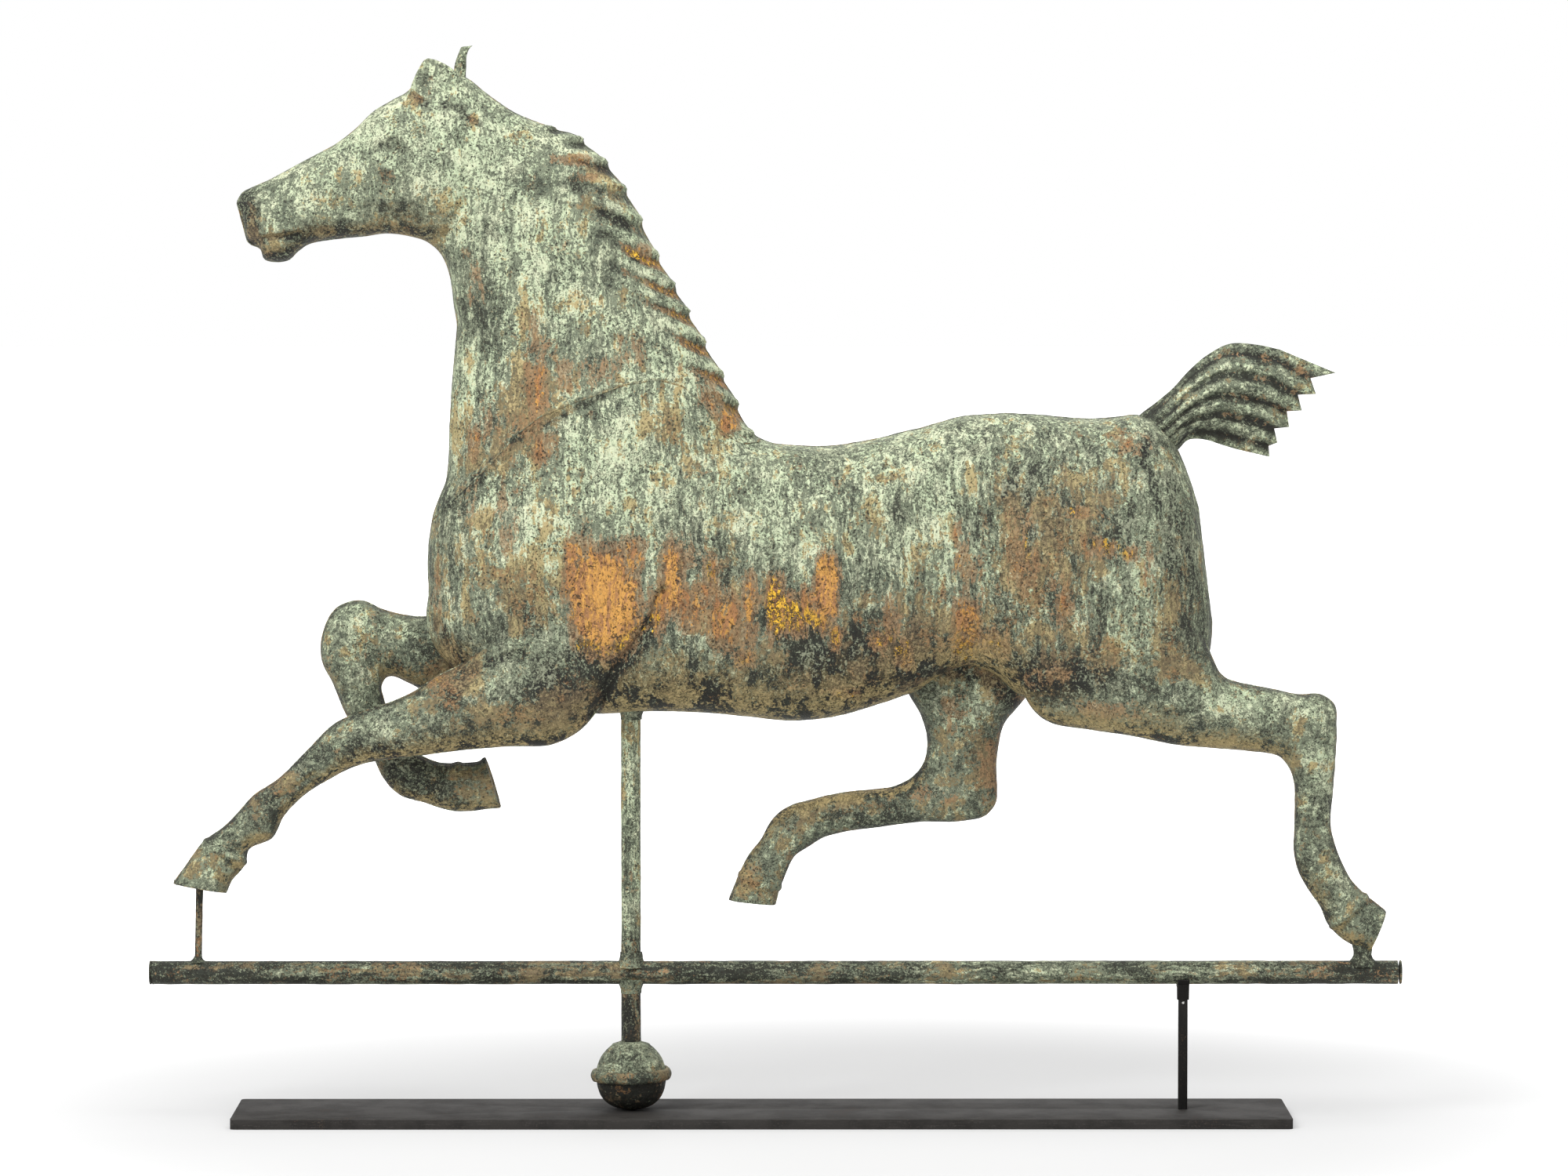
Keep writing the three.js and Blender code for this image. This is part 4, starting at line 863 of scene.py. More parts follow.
def reckon_place(tree, operation, *values):
    """Arithmetic with places."""
    inputs = dict(enumerate(values))
    return wire(tree, "ShaderNodeVectorMath", inputs, operation=operation).outputs[0]


def scaled(tree, place, scale):
    inputs = {0: place, "Scale": scale}
    return wire(tree, "ShaderNodeVectorMath", inputs, operation="SCALE").outputs[0]


def times(tree, value, other):
    return reckon(tree, "MULTIPLY", value, other)


def ramped(tree, value, low, high):
    """0 below the low value, 1 above the high one, and smooth between."""
    return wire(tree, "ShaderNodeMapRange", {"Value": value, "From Min": low, "From Max": high},
                interpolation_type="SMOOTHSTEP").outputs["Result"]


def faded(tree, value, low, high):
    """1 below the low value, 0 above the high one, and smooth between."""
    return reckon(tree, "SUBTRACT", 1.0, ramped(tree, value, low, high))


def noise_at(tree, place, scale, detail, roughness, output="Fac"):
    inputs = {"Vector": place, "Scale": scale, "Detail": detail, "Roughness": roughness}
    return wire(tree, "ShaderNodeTexNoise", inputs).outputs[output]


def grained(tree, place, scale, detail, roughness, shift=0.0):
    """Noise about zero."""
    if shift:
        place = reckon_place(tree, "ADD", place, (shift, shift, shift))
    return reckon(tree, "SUBTRACT", noise_at(tree, place, scale, detail, roughness), 0.5)


def celled(tree, place, scale, randomness=1.0):
    """Distance to the nearest of many scattered points."""
    inputs = {"Vector": place, "Scale": scale, "Randomness": randomness}
    return wire(tree, "ShaderNodeTexVoronoi", inputs).outputs["Distance"]


def summed(tree, *terms):
    """The sum of values, each times its own weight."""
    total = 0.0
    for value, weight in terms:
        total = reckon(tree, "MULTIPLY_ADD", value, weight, total)
    return total


def shown(tree, low, high, *terms):
    """Where a weighted sum shows: 0 below its low value, 1 above its high one."""
    return ramped(tree, summed(tree, *terms), low, high)


def laid_over(tree, under, colour, share, strength=1.0, blend="MIX"):
    """One colour over another, where its share is and as strongly as given."""
    if strength != 1.0:
        share = times(tree, share, strength)
    inputs = {"Factor": share, 6: under, 7: colour}
    return wire(tree, "ShaderNodeMix", inputs, data_type="RGBA", blend_type=blend).outputs[2]


def paint(red, green, blue):
    """A colour given as it looks on screen, from 0 to 255."""
    def bare(value):
        value /= 255
        return value / 12.92 if value <= 0.04045 else ((value + 0.055) / 1.055) ** 2.4
    return (bare(red), bare(green), bare(blue), 1.0)


GREY_GREEN = paint(124, 131, 109)
DEEP_GREEN = paint(92, 101, 85)
CHARCOAL = paint(31, 32, 27)
TAUPE_GLAZE = paint(236, 212, 178)
TAUPE = paint(138, 120, 94)
RUST = paint(140, 104, 68)
MINT = paint(180, 193, 160)
CREAM_GREEN = paint(196, 201, 170)
BARE_BROWN = paint(140, 111, 80)
ORANGE_BROWN = paint(154, 110, 72)
OLD_GOLD = paint(198, 146, 72)
PIT_BROWN = paint(78, 50, 34)
BRIGHT_GOLD = paint(226, 178, 58)
OLIVE_TAN = paint(158, 142, 98)
PIT_BLACK = paint(40, 37, 30)


def new_tree(name, kind, inputs, outputs):
    """An empty tree with its named inputs and outputs, and the identifiers its inputs go by."""
    tree = bpy.data.node_groups.new(name, f"{kind}NodeTree")
    identifiers = {}
    for sockets, way in ((inputs, "INPUT"), (outputs, "OUTPUT")):
        for word, value_kind in sockets.items():
            socket = tree.interface.new_socket(
                name=word, in_out=way, socket_type=f"NodeSocket{value_kind}")
            identifiers[word] = socket.identifier
    return tree, tree.nodes.new("NodeGroupInput").outputs, identifiers


LAYERS = ("Runs", "Pale", "Brown", "Gilding", "Dark", "Olive")
patina_layers, given, _ = new_tree(
    "patina_layers", "Shader",
    {"Place": "Vector", "Grain": "Vector", **dict.fromkeys(LAYERS, "Float")},
    {"Color": "Color", "Roughness": "Float", "Metallic": "Float", "Height": "Float"})
tree = patina_layers
place, gilding, dark = given["Place"], given["Gilding"], given["Dark"]
sway = reckon_place(
    tree, "SUBTRACT", noise_at(tree, place, 40.0, 4.0, 0.6, "Color"), (0.5, 0.5, 0.5))
swayed = reckon_place(tree, "ADD", place, scaled(tree, sway, 0.012))
run = reckon_place(tree, "MULTIPLY", swayed, given["Grain"])
short_run = reckon_place(tree, "MULTIPLY_ADD", run, (0.7, 0.7, 0.7), scaled(tree, swayed, 0.3))


def run_or_still(scale, still_scale, detail, roughness, shift, along=run):
    """Noise drawn out along the run of the rain, or even in all directions where nothing ran."""
    drawn_out = grained(tree, along, scale, detail, roughness, shift)
    even = grained(tree, swayed, still_scale, detail, roughness, shift)
    step = reckon(tree, "SUBTRACT", drawn_out, even)
    return reckon(tree, "MULTIPLY_ADD", step, given["Runs"], even)


streak = run_or_still(280.0, 150.0, 4.0, 0.68, 0.0)
other_streak = run_or_still(210.0, 120.0, 4.0, 0.66, 3.7)
drip = run_or_still(105.0, 70.0, 4.0, 0.62, 6.3)
hair = run_or_still(460.0, 360.0, 3.0, 0.7, 1.3, along=short_run)
blotch = grained(tree, swayed, 44.0, 5.0, 0.66)
other_blotch = grained(tree, swayed, 34.0, 5.0, 0.66, 5.1)
broad = grained(tree, place, 11.0, 2.0, 0.5, 2.2)
grit = grained(tree, place, 560.0, 2.0, 0.66)
other_grit = grained(tree, place, 420.0, 3.0, 0.72, 4.4)

# The dark skin, grey-green at its lightest, with a dark line where the pale crust has flaked off
crust_left = summed(
    tree, (streak, 1.0), (drip, -0.6), (hair, 0.9), (blotch, 0.45), (broad, 0.3), (grit, 1.0),
    (other_grit, 0.8), (given["Pale"], 1.0))
pale_share = ramped(tree, crust_left, -0.06, 0.10)
flake_edge = times(
    tree, ramped(tree, crust_left, -0.13, -0.05), faded(tree, crust_left, -0.05, 0.02))
dark_share = shown(
    tree, 0.09, 0.21, (other_streak, 1.0), (drip, 0.7), (other_grit, 1.0), (other_blotch, 0.65),
    (grit, 0.8), (dark, 1.0))
green = laid_over(
    tree, GREY_GREEN, DEEP_GREEN, shown(tree, -0.10, 0.18, (other_blotch, 1.0), (grit, 1.2)))
skin = laid_over(tree, green, CHARCOAL, times(
    tree, dark_share, reckon(tree, "MULTIPLY_ADD", dark, 0.9, 0.68)))
skin = laid_over(tree, skin, CHARCOAL, flake_edge, 0.38)

# The pale crust over it, and the browns that stain both
crust = laid_over(tree, MINT, CREAM_GREEN, shown(tree, -0.1, 0.2, (blotch, 1.0), (hair, 0.8)))
pale_show = times(tree, pale_share, reckon(tree, "MULTIPLY_ADD", dark_share, -0.6, 0.92))
skin = laid_over(tree, skin, crust, pale_show)
brown_share = shown(
    tree, 0.12, 0.22, (other_blotch, -1.2), (drip, -0.8), (streak, -0.4), (other_grit, 0.5),
    (given["Brown"], 1.0))
skin = laid_over(tree, skin, TAUPE_GLAZE, brown_share, blend="MULTIPLY")
skin = laid_over(tree, skin, TAUPE, brown_share, 0.42)
skin = laid_over(tree, skin, RUST, shown(
    tree, 0.20, 0.28, (blotch, -1.1), (other_streak, -0.8), (other_grit, 0.7),
    (given["Brown"], 0.6)), 0.5)

# The old gilding: bare brown round it, the leaf inside that, and a green film over both
leaf_left = summed(
    tree, (other_streak, -1.0), (drip, -0.7), (blotch, -0.7), (hair, 0.5), (other_grit, 0.5),
    (gilding, 1.0))
bare_share = ramped(tree, leaf_left, 0.28, 0.36)
gilded_share = ramped(tree, leaf_left, 0.55, 0.62)
leaf = laid_over(tree, ORANGE_BROWN, OLD_GOLD, shown(
    tree, 0.04, 0.26, (hair, 0.9), (streak, 1.2), (drip, 0.8), (gilding, 0.2)))
skin = laid_over(tree, skin, BARE_BROWN, bare_share, 0.72)
skin = laid_over(tree, skin, leaf, gilded_share, 0.88)
film = shown(tree, 0.06, 0.16, (streak, 1.0), (other_grit, 1.0), (grit, 0.6), (gilding, -0.12))
skin = laid_over(tree, skin, DEEP_GREEN, times(tree, film, times(tree, bare_share, 0.36)))

# Flecks of bright leaf about the gilding, each with a dark edge, and tan on what faces down
fleck = summed(
    tree, (hair, 1.3), (grained(tree, swayed, 260.0, 3.0, 0.7, 7.7), 1.3), (gilding, 0.32))
near_leaf = times(
    tree, shown(tree, 0.24, 0.36, (other_streak, 0.6), (gilding, 0.6)),
    reckon(tree, "SUBTRACT", ramped(tree, dark, 0.08, 0.3), ramped(tree, gilding, 0.7, 0.9)))
near_leaf = times(tree, reckon(tree, "MAXIMUM", near_leaf, 0.0), faded(tree, dark, 0.40, 0.55))
fleck_edge = times(tree, near_leaf, ramped(tree, fleck, 0.04, 0.14))
skin = laid_over(tree, skin, PIT_BLACK, fleck_edge, 0.8)
fleck_share = times(tree, near_leaf, ramped(tree, fleck, 0.17, 0.22))
skin = laid_over(tree, skin, BRIGHT_GOLD, fleck_share, 0.95)
tan_share = times(tree, given["Olive"], shown(
    tree, -0.07, 0.0, (other_streak, -0.5), (drip, -0.9), (other_grit, 0.6), (other_blotch, -1.0)))
tan_share = times(tree, tan_share, faded(tree, dark, 0.6, 0.85))
skin = laid_over(tree, skin, OLIVE_TAN, tan_share, 0.8)

# What is eaten into the skin: blisters that have burst into rings, pits, pores, specks and cracks
blister = summed(tree, (celled(tree, swayed, 165.0, 0.95), 1.0), (other_grit, 0.4))
ring = times(tree, ramped(tree, blister, 0.12, 0.22), faded(tree, blister, 0.28, 0.40))
blister_share = times(tree, ring, shown(
    tree, 0.34, 0.50, (gilding, 0.6), (other_blotch, -1.2), (other_grit, 0.4)))
blister_share = times(tree, blister_share, faded(tree, gilding, 0.76, 0.95))
skin = laid_over(tree, skin, PIT_BLACK, blister_share, 0.85)
pit = summed(tree, (celled(tree, short_run, 400.0), 1.0), (other_streak, -0.5))
pit_share = times(tree, bare_share, faded(tree, pit, 0.16, 0.30))
skin = laid_over(tree, skin, PIT_BROWN, pit_share, 0.7)
pore = summed(
    tree, (celled(tree, swayed, 330.0), 1.0), (blotch, 0.7), (other_grit, 0.6), (gilding, 0.02))
pore_share = faded(tree, pore, 0.11, 0.25)
skin = laid_over(tree, skin, PIT_BLACK, pore_share, 0.85)
speck = shown(tree, -0.22, 0.22, (hair, 1.0), (grit, 1.0), (other_grit, 1.0))
speck_share = reckon(
    tree, "MULTIPLY_ADD", reckon(tree, "MAXIMUM", pale_show, gilded_share), -0.8, 1.0)
skin = laid_over(
    tree, skin, reckon(tree, "MULTIPLY_ADD", speck, 0.66, 0.66), speck_share, blend="MULTIPLY")
crack = reckon(tree, "ABSOLUTE", summed(
    tree, (grained(tree, swayed, 150.0, 4.0, 0.65, 9.1), 1.0), (grit, 0.12)))
crack_share = times(
    tree, faded(tree, crack, 0.005, 0.040),
    shown(tree, -0.06, 0.12, (other_blotch, 1.0), (grit, 0.8), (dark, 0.5)))
skin = laid_over(tree, skin, PIT_BLACK, crack_share, 0.7)

rough = reckon(tree, "MULTIPLY_ADD", pale_show, 0.20, 0.64)
rough = reckon(tree, "MULTIPLY_ADD", gilded_share, -0.14, rough)
height = summed(
    tree, (pale_show, 0.6), (grit, 1.1), (other_grit, 0.8), (streak, 0.8), (pore_share, -0.6),
    (blister_share, 0.5), (pit_share, -0.4), (gilded_share, -0.5), (hair, 0.5),
    (crack_share, -0.6))
wire(tree, "NodeGroupOutput", {
    "Color": skin, "Roughness": rough, "Metallic": times(tree, gilded_share, 0.25),
    "Height": height})

PATINA_BUMP = 0.9
PATINA_BUMP_DEPTH = 0.0007
PATINA_SHEEN = 0.22


def new_finish(name):
    """A new material, its node tree and its shader."""
    finish = bpy.data.materials.new(name)
    finish.use_nodes = True
    return finish, finish.node_tree, finish.node_tree.nodes["Principled BSDF"]


def mark_on(tree, name):
    return wire(tree, "ShaderNodeAttribute", attribute_name=name).outputs["Fac"]


def bumped(tree, height, strength, depth):
    inputs = {"Strength": strength, "Distance": depth, "Height": height}
    return wire(tree, "ShaderNodeBump", inputs).outputs["Normal"]


def patinated(name, grain=(1, 1, 0.14), layers=None, stained=False):
    """Copper under its patina, its layers read from the sheet's own marks or given as levels."""
    finish, tree, shader = new_finish(name)
    if layers is None:
        levels = {layer: mark_on(tree, layer.lower()) for layer in LAYERS}
    else:
        levels = {"Runs": 1.0, **layers}
    if stained:
        stain = mark_on(tree, "stain")
        for layer, part in (("Dark", 1.0), ("Pale", -0.6)):
            levels[layer] = reckon(tree, "MULTIPLY_ADD", stain, part, levels[layer])
    place = wire(tree, "ShaderNodeTexCoord").outputs["Object"]
    patina = wire(tree, "ShaderNodeGroup", node_tree=patina_layers)
    fed(tree, patina, {"Place": place, "Grain": grain, **levels})
    fed(tree, shader, {
        "Base Color": patina.outputs["Color"], "Roughness": patina.outputs["Roughness"],
        "Metallic": patina.outputs["Metallic"], "Specular IOR Level": PATINA_SHEEN,
        "Normal": bumped(tree, patina.outputs["Height"], PATINA_BUMP, PATINA_BUMP_DEPTH)})
    return finish


def on_vane(piece, node=None, finish=None):
    """Puts a piece on the vane, in the place of its CAD node where it has one."""
    if finish is not None:
        piece.data.materials.append(finish)
    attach(piece, "vane")
    if node is not None:
        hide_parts(node)


sheet_copper = patinated("weathered_sheet_copper")
for piece in [*body_shells.values(), *neck_shells.values(), *ears.values()]:
    weathered(piece)
# The legs get painted shade along their turned edges.
for piece in leg_shells.values():
    weathered(piece, rain=0.4, rim=0.2)
# The tail gets more dirt and painted shade in its grooves.
for piece in tail_shells.values():
    weathered(piece, shade=-0.04, hollow_dirt_and_shade=0.42, hollow_leaf=0.3, rain=0.0, tan=0.0)
copper_pieces = {
    f"{part}_{word}_shell": shell
    for part, shells in (("body", body_shells), ("neck", neck_shells), ("tail", tail_shells))
    for word, shell in shells.items()}
copper_pieces.update(**leg_shells, **ears)
for node, piece in copper_pieces.items():
    on_vane(piece, node, sheet_copper)

# Seams: the half shells meet in a line of soft solder, run in by hand and filed down, which stands
# a little proud of the copper all round the horse's outline and down each leg.
SEAM_BEAD = 0.0007
SEAM_STEP = 0.0022
SEAM_SIDES = 6
SEAM_UNEVENNESS = 1.3
LEG_SEAM_FIRST_LINE = 18


def made_form(tree, kind, inputs, **settings):
    return wire(tree, f"GeometryNode{kind}", inputs, **settings).outputs[0]


def given_out(tree, form, finish, name):
    """Shades the form smooth, makes it real, and gives it its finish, as the tree's one output."""
    form = made_form(tree, "SetShadeSmooth", {"Geometry": form})
    form = made_form(tree, "RealizeInstances", {"Geometry": form})
    form = made_form(tree, "SetMaterial", {"Geometry": form, "Material": finish})
    wire(tree, "NodeGroupOutput", {name: form})


tree, given, seam_inputs = new_tree("soldered_seam", "Geometry", {
    "Line": "Geometry", "Bead radius": "Float", "Step": "Float", "Unevenness": "Float",
    "Seed": "Float", "Finish": "Material"}, {"Bead": "Geometry"})
soldered_seam = tree
line = made_form(tree, "MeshToCurve", {"Mesh": given["Line"]})
line = made_form(tree, "ResampleCurve", {"Curve": line, "Length": given["Step"]}, mode="LENGTH")
noise = wire(tree, "ShaderNodeTexNoise", {"W": given["Seed"], "Scale": 140.0, "Detail": 2.0},
             noise_dimensions="4D").outputs["Fac"]
swing = times(tree, reckon(tree, "SUBTRACT", noise, 0.5), given["Unevenness"])
width = times(tree, given["Bead radius"], reckon(tree, "ADD", 1.0, swing))
profile = made_form(tree, "CurvePrimitiveCircle", {"Resolution": SEAM_SIDES, "Radius": 1.0})
bead = made_form(tree, "CurveToMesh", {
    "Curve": line, "Profile Curve": profile, "Scale": width, "Fill Caps": True})
given_out(tree, bead, given["Finish"], "Bead")


def grown(name, start, group, identifiers, values):
    """The plain mesh that a geometry tree makes from a starting mesh, as an object of its own."""
    seed = placed(f"{name}_start", start)
    change = seed.modifiers.new(name, "NODES")
    change.node_group = group
    for word, value in values.items():
        change[identifiers[word]] = value
    ready = seed.evaluated_get(bpy.context.evaluated_depsgraph_get())
    mesh = bpy.data.meshes.new_from_object(ready)
    bpy.data.objects.remove(seed)
    mended(mesh, gap=1e-6)
    mesh.name = name
    return placed(name, mesh)


def seam_line(name, points, closed):
    mesh = bpy.data.meshes.new(name)
    edges = [(at, at + 1) for at in range(len(points) - 1)]
    if closed:
        edges.append((len(points) - 1, 0))
    mesh.from_pydata(points.tolist(), edges, [])
    return mesh


solder = patinated(
    "seam_solder", layers={"Pale": -0.04, "Brown": 0.14, "Dark": 0.06, "Gilding": 0.1})
seams = [("body", body_edge, True)]
seams += [(f"{word}_neck", joint, False) for word, joint in neck_joints.items()]
for leg, points in leg_seams.items():
    down_and_back = np.concatenate([
        points[LEG_SEAM_FIRST_LINE:-1, 0], points[-1, :-1], points[:LEG_SEAM_FIRST_LINE:-1, -1]])
    seams.append((leg, down_and_back, False))
for number, (name, points, closed) in enumerate(seams):
    seam = grown(
        f"{name}_seam", seam_line(f"{name}_line", points, closed), soldered_seam, seam_inputs, {
            "Bead radius": SEAM_BEAD, "Step": SEAM_STEP, "Unevenness": SEAM_UNEVENNESS,
            "Seed": float(number), "Finish": solder})
    on_vane(seam)

# Crossbar and upright: two lengths of drawn copper tube, soldered where one passes through the
# other. The crossbar is closed at both ends by a thin disc.
UPRIGHT_RADIUS = 0.0159 / 2
CROSSBAR_RADIUS = 0.019 / 2
TUBE_WALL = 0.0012
TUBE_STEP = 0.0045
TUBE_SIDES = 56
TUBE_DENTS = 0.0011
TUBE_DENT_LEVEL = 0.62

tree, given, tube_inputs = new_tree("drawn_tube", "Geometry", {
    "Radius": "Float", "Wall": "Float", "Length": "Float", "Step": "Float", "Dents": "Float",
    "Turn": "Vector", "Middle": "Vector", "Finish": "Material"}, {"Tube": "Geometry"})
drawn_tube = tree
middle_radius = reckon(tree, "MULTIPLY_ADD", given["Wall"], -0.5, given["Radius"])
circle = made_form(
    tree, "CurvePrimitiveCircle", {"Resolution": TUBE_SIDES, "Radius": middle_radius})
section = made_form(
    tree, "CurvePrimitiveQuadrilateral", {"Width": given["Wall"], "Height": given["Length"]})
section = made_form(
    tree, "ResampleCurve", {"Curve": section, "Length": given["Step"]}, mode="LENGTH")
tube = made_form(tree, "CurveToMesh", {"Curve": circle, "Profile Curve": section})
crust = wire(tree, "ShaderNodeTexNoise", {"Scale": 60.0, "Detail": 4.0}).outputs["Fac"]
push = times(tree, reckon(tree, "SUBTRACT", crust, TUBE_DENT_LEVEL), given["Dents"])
dent = scaled(tree, made_form(tree, "InputNormal", {}), push)
tube = made_form(tree, "SetPosition", {"Geometry": tube, "Offset": dent})
tube = made_form(tree, "Transform", {
    "Geometry": tube, "Rotation": given["Turn"], "Translation": given["Middle"]})
given_out(tree, tube, given["Finish"], "Tube")

upright_copper = patinated(
    "upright_copper", layers={"Pale": 0.08, "Brown": 0.06, "Dark": 0.04, "Gilding": 0.1},
    stained=True)
crossbar_copper = patinated(
    "crossbar_copper", grain=(0.07, 1, 1),
    layers={"Pale": -0.14, "Brown": 0.05, "Dark": 0.27, "Gilding": 0.1}, stained=True)
FOOT_STAIN = 0.34
FOOT_STAIN_REACH = 0.03
PALER_STRETCH = (0.23, 0.14, -0.16)


def stained(tube):
    """The upright is dark from the crossing down, and the crossbar paler towards the tail."""
    x, _, z = values_of(tube.data.vertices, "co", kind=float).T
    if np.ptp(z) > np.ptp(x):
        stain = FOOT_STAIN * np.exp(-(np.maximum(z - CROSSBAR_Z, 0) / FOOT_STAIN_REACH) ** 2)
    else:
        middle, reach, amount = PALER_STRETCH
        stain = amount * np.exp(-((x - middle) / reach) ** 2)
    marked(tube.data, "stain", stain)


for node, finish, radius, turn in (
        ("upright_tube", upright_copper, UPRIGHT_RADIUS, (0, 0, 0)),
        ("crossbar_tube", crossbar_copper, CROSSBAR_RADIUS, (0, math.pi / 2, 0))):
    low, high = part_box(node)
    tube = grown(f"{node}_drawn", bpy.data.meshes.new(node), drawn_tube, tube_inputs, {
        "Radius": radius, "Wall": TUBE_WALL, "Length": max(high - low), "Step": TUBE_STEP,
        "Dents": TUBE_DENTS, "Turn": turn, "Middle": (low + high) / 2, "Finish": finish})
    tube.data.set_sharp_from_angle(angle=math.radians(50))
    stained(tube)
    on_vane(tube, node)


TURNED_MARKS = [(0.6, 0.012), (0.4, 0.004)]


def turned(name, profile, centre, dent, seed, segments=72, tilt=0.0, axis="Z", step=0.0016):
    """A turned piece from a closed outline of radius and height, with small dents all over."""
    outline = []
    for (r0, h0), (r1, h1) in zip(profile, profile[1:] + profile[:1]):
        count = max(1, math.ceil(math.hypot(r1 - r0, h1 - h0) / step))
        for k in range(count):
            outline.append((r0 + (r1 - r0) * k / count, h0 + (h1 - h0) * k / count))
    outline = np.array(outline)
    turn = np.linspace(0, 2 * np.pi, segments, endpoint=False)

    def swept(radius, height):
        return np.stack([radius[:, None] * np.cos(turn), radius[:, None] * np.sin(turn),
                         np.repeat(height[:, None], segments, axis=1)], axis=-1)

    grid = swept(*outline.T)
    slope = np.roll(outline, -1, axis=0) - np.roll(outline, 1, axis=0)
    slope /= np.maximum(np.linalg.norm(slope, axis=-1, keepdims=True), 1e-9)
    on_axis = (outline[:, 0] < 1e-6)[:, None]
    worn = dent * np.where(on_axis, 0, uneven(grid, TURNED_MARKS, seed))
    grid = grid + swept(slope[:, 1], -slope[:, 0]) * worn[..., None]
    number = numbered(len(outline), segments)
    below = np.roll(number, -1, axis=0)
    quads = np.stack([
        number, np.roll(number, -1, axis=1), np.roll(below, -1, axis=1), below], axis=-1)
    piece = finished(name, grid.reshape(-1, 3), quads.reshape(-1, 4).tolist(), sharp_degrees=40)
    place = Matrix.Translation(centre) @ Matrix.Rotation(math.radians(tilt), 4, "Y")
    if axis == "X":
        place = place @ Matrix.Rotation(math.pi / 2, 4, "Y")
    piece.data.transform(place)
    return piece


CAP_EDGE = 0.0004
for node in ("crossbar_front_cap", "crossbar_rear_cap"):
    low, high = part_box(node)
    half = (high.x - low.x) / 2
    flat = CROSSBAR_RADIUS - CAP_EDGE
    disc = turned(f"{node}_disc", [
        (0, -half), (flat, -half), (CROSSBAR_RADIUS, -half + CAP_EDGE),
        (CROSSBAR_RADIUS, half - CAP_EDGE), (flat, half), (0, half),
    ], (low + high) / 2, dent=0.0001, seed=81, axis="X")
    on_vane(disc, node, crossbar_copper)

# Solder at the belly, at the crossing, and under the two hooves that stand on the crossbar: soft
# masses that have run round the metal and never been cleaned off. The fore hoof stands on a rod.
FILLET_REACH = 0.0034
FILLET_SKIN = 0.0006
FILLET_HOLLOW = 2.2
FILLET_RISE = 0.8
SOLDER_DENT = 0.0009
STUB_TOP = grid_z(1190)
STUB_DENT = 0.0011
ROD_FOOT = Vector((grid_x(250), 0, CROSSBAR_Z + CROSSBAR_RADIUS * 0.6))
ROD_TOP = Vector((grid_x(252.5), 0, grid_z(1124)))
ROD_RADIUS = 0.0029
mass_solder = patinated(
    "mass_solder", grain=(1, 1, 0.6),
    layers={"Runs": 0.4, "Pale": -0.1, "Brown": -0.04, "Dark": 0.2})
rod_copper = patinated("rod_copper", layers={"Pale": -0.26, "Brown": 0.1, "Dark": 0.3})


def run_down(radius, low, high):
    """Outline of a fillet that spreads out downwards."""
    outline = [(radius, low)]
    for share in np.linspace(0, 1, 9):
        reach = FILLET_REACH * (1 - share) ** FILLET_HOLLOW + FILLET_SKIN
        outline.append((radius + reach, low + (high - low) * share**FILLET_RISE))
    return outline + [(radius, high)]


def run_up(radius, low, high):
    return [(r, low + high - h) for r, h in reversed(run_down(radius, low, high))]


for node, radius, outline in (
        ("belly_solder", UPRIGHT_RADIUS, run_up),
        ("crossing_upper_solder", UPRIGHT_RADIUS, run_down),
        ("crossing_lower_solder", UPRIGHT_RADIUS, run_up),
        ("fore_hoof_rod_solder", ROD_RADIUS, run_down)):
    low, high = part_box(node)
    mass = turned(f"{node}_mass", outline(radius, low.z, high.z), (middle_of(node, "x"), 0, 0),
                  dent=SOLDER_DENT, seed=90 + len(node))
    on_vane(mass, node, mass_solder)

# The stub under the hind hoof: radius, and height above the middle of the crossbar
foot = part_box("hind_hoof_solder")[0].z
stub_outline = [(0, foot), (0.0108, foot)]
stub_outline += [(radius, CROSSBAR_Z + height) for radius, height in (
    (0.0104, 0.0092), (0.0086, 0.0112), (0.0076, 0.0140), (0.0074, 0.0170))]
stub_outline += [(0.0088, STUB_TOP), (0, STUB_TOP)]
stub = turned("hind_hoof_solder_mass", stub_outline, (middle_of("hind_hoof_solder", "x"), 0, 0),
              dent=STUB_DENT, seed=97)
on_vane(stub, "hind_hoof_solder", mass_solder)

rise = ROD_TOP - ROD_FOOT
rod = turned(
    "fore_hoof_rod_turned", [(0, 0), (ROD_RADIUS, 0), (ROD_RADIUS, rise.length), (0, rise.length)],
    ROD_FOOT, segments=32, dent=0.00025, seed=85, tilt=math.degrees(math.atan2(rise.x, rise.z)))
on_vane(rod, "fore_hoof_rod", rod_copper)

# Ball: two spun copper bowls soldered at the middle under a raised band, which sits a little askew.
BALL_RADIUS = 0.0556 / 2
BALL_WALL = 0.0012
BALL_MIDDLE = middle_of("ball_seam_band", "z")
UPPER_HOLE = UPRIGHT_RADIUS + 0.0003
LOWER_HOLE = 0.00665
LOWER_FULLNESS = 0.8
COLLAR = 0.0012
COLLAR_PLACE = 0.84
COLLAR_WIDTH = 0.05
BOWL_DENT = 0.00045
BAND_INNER = BALL_RADIUS + 0.0003
BAND_SHOULDER = BAND_INNER + 0.0008
BAND_OUTER = 0.0321
BAND_ROUND = 0.0021
BAND_HALF = 0.00475
BAND_ROUND_HALF = BAND_HALF * 0.96
BAND_DENT = 0.0007
BAND_TILT = -1.5
ball_copper = patinated(
    "ball_copper", grain=(0.3, 0.3, 0.9),
    layers={"Runs": 0.6, "Pale": 0.02, "Brown": 0.06, "Dark": 0.16, "Gilding": 0.12})
band_copper = patinated(
    "ball_band_copper", grain=(0.3, 0.3, 1),
    layers={"Runs": 0.5, "Pale": -0.12, "Brown": 0.16, "Dark": 0.16, "Gilding": 0.08})
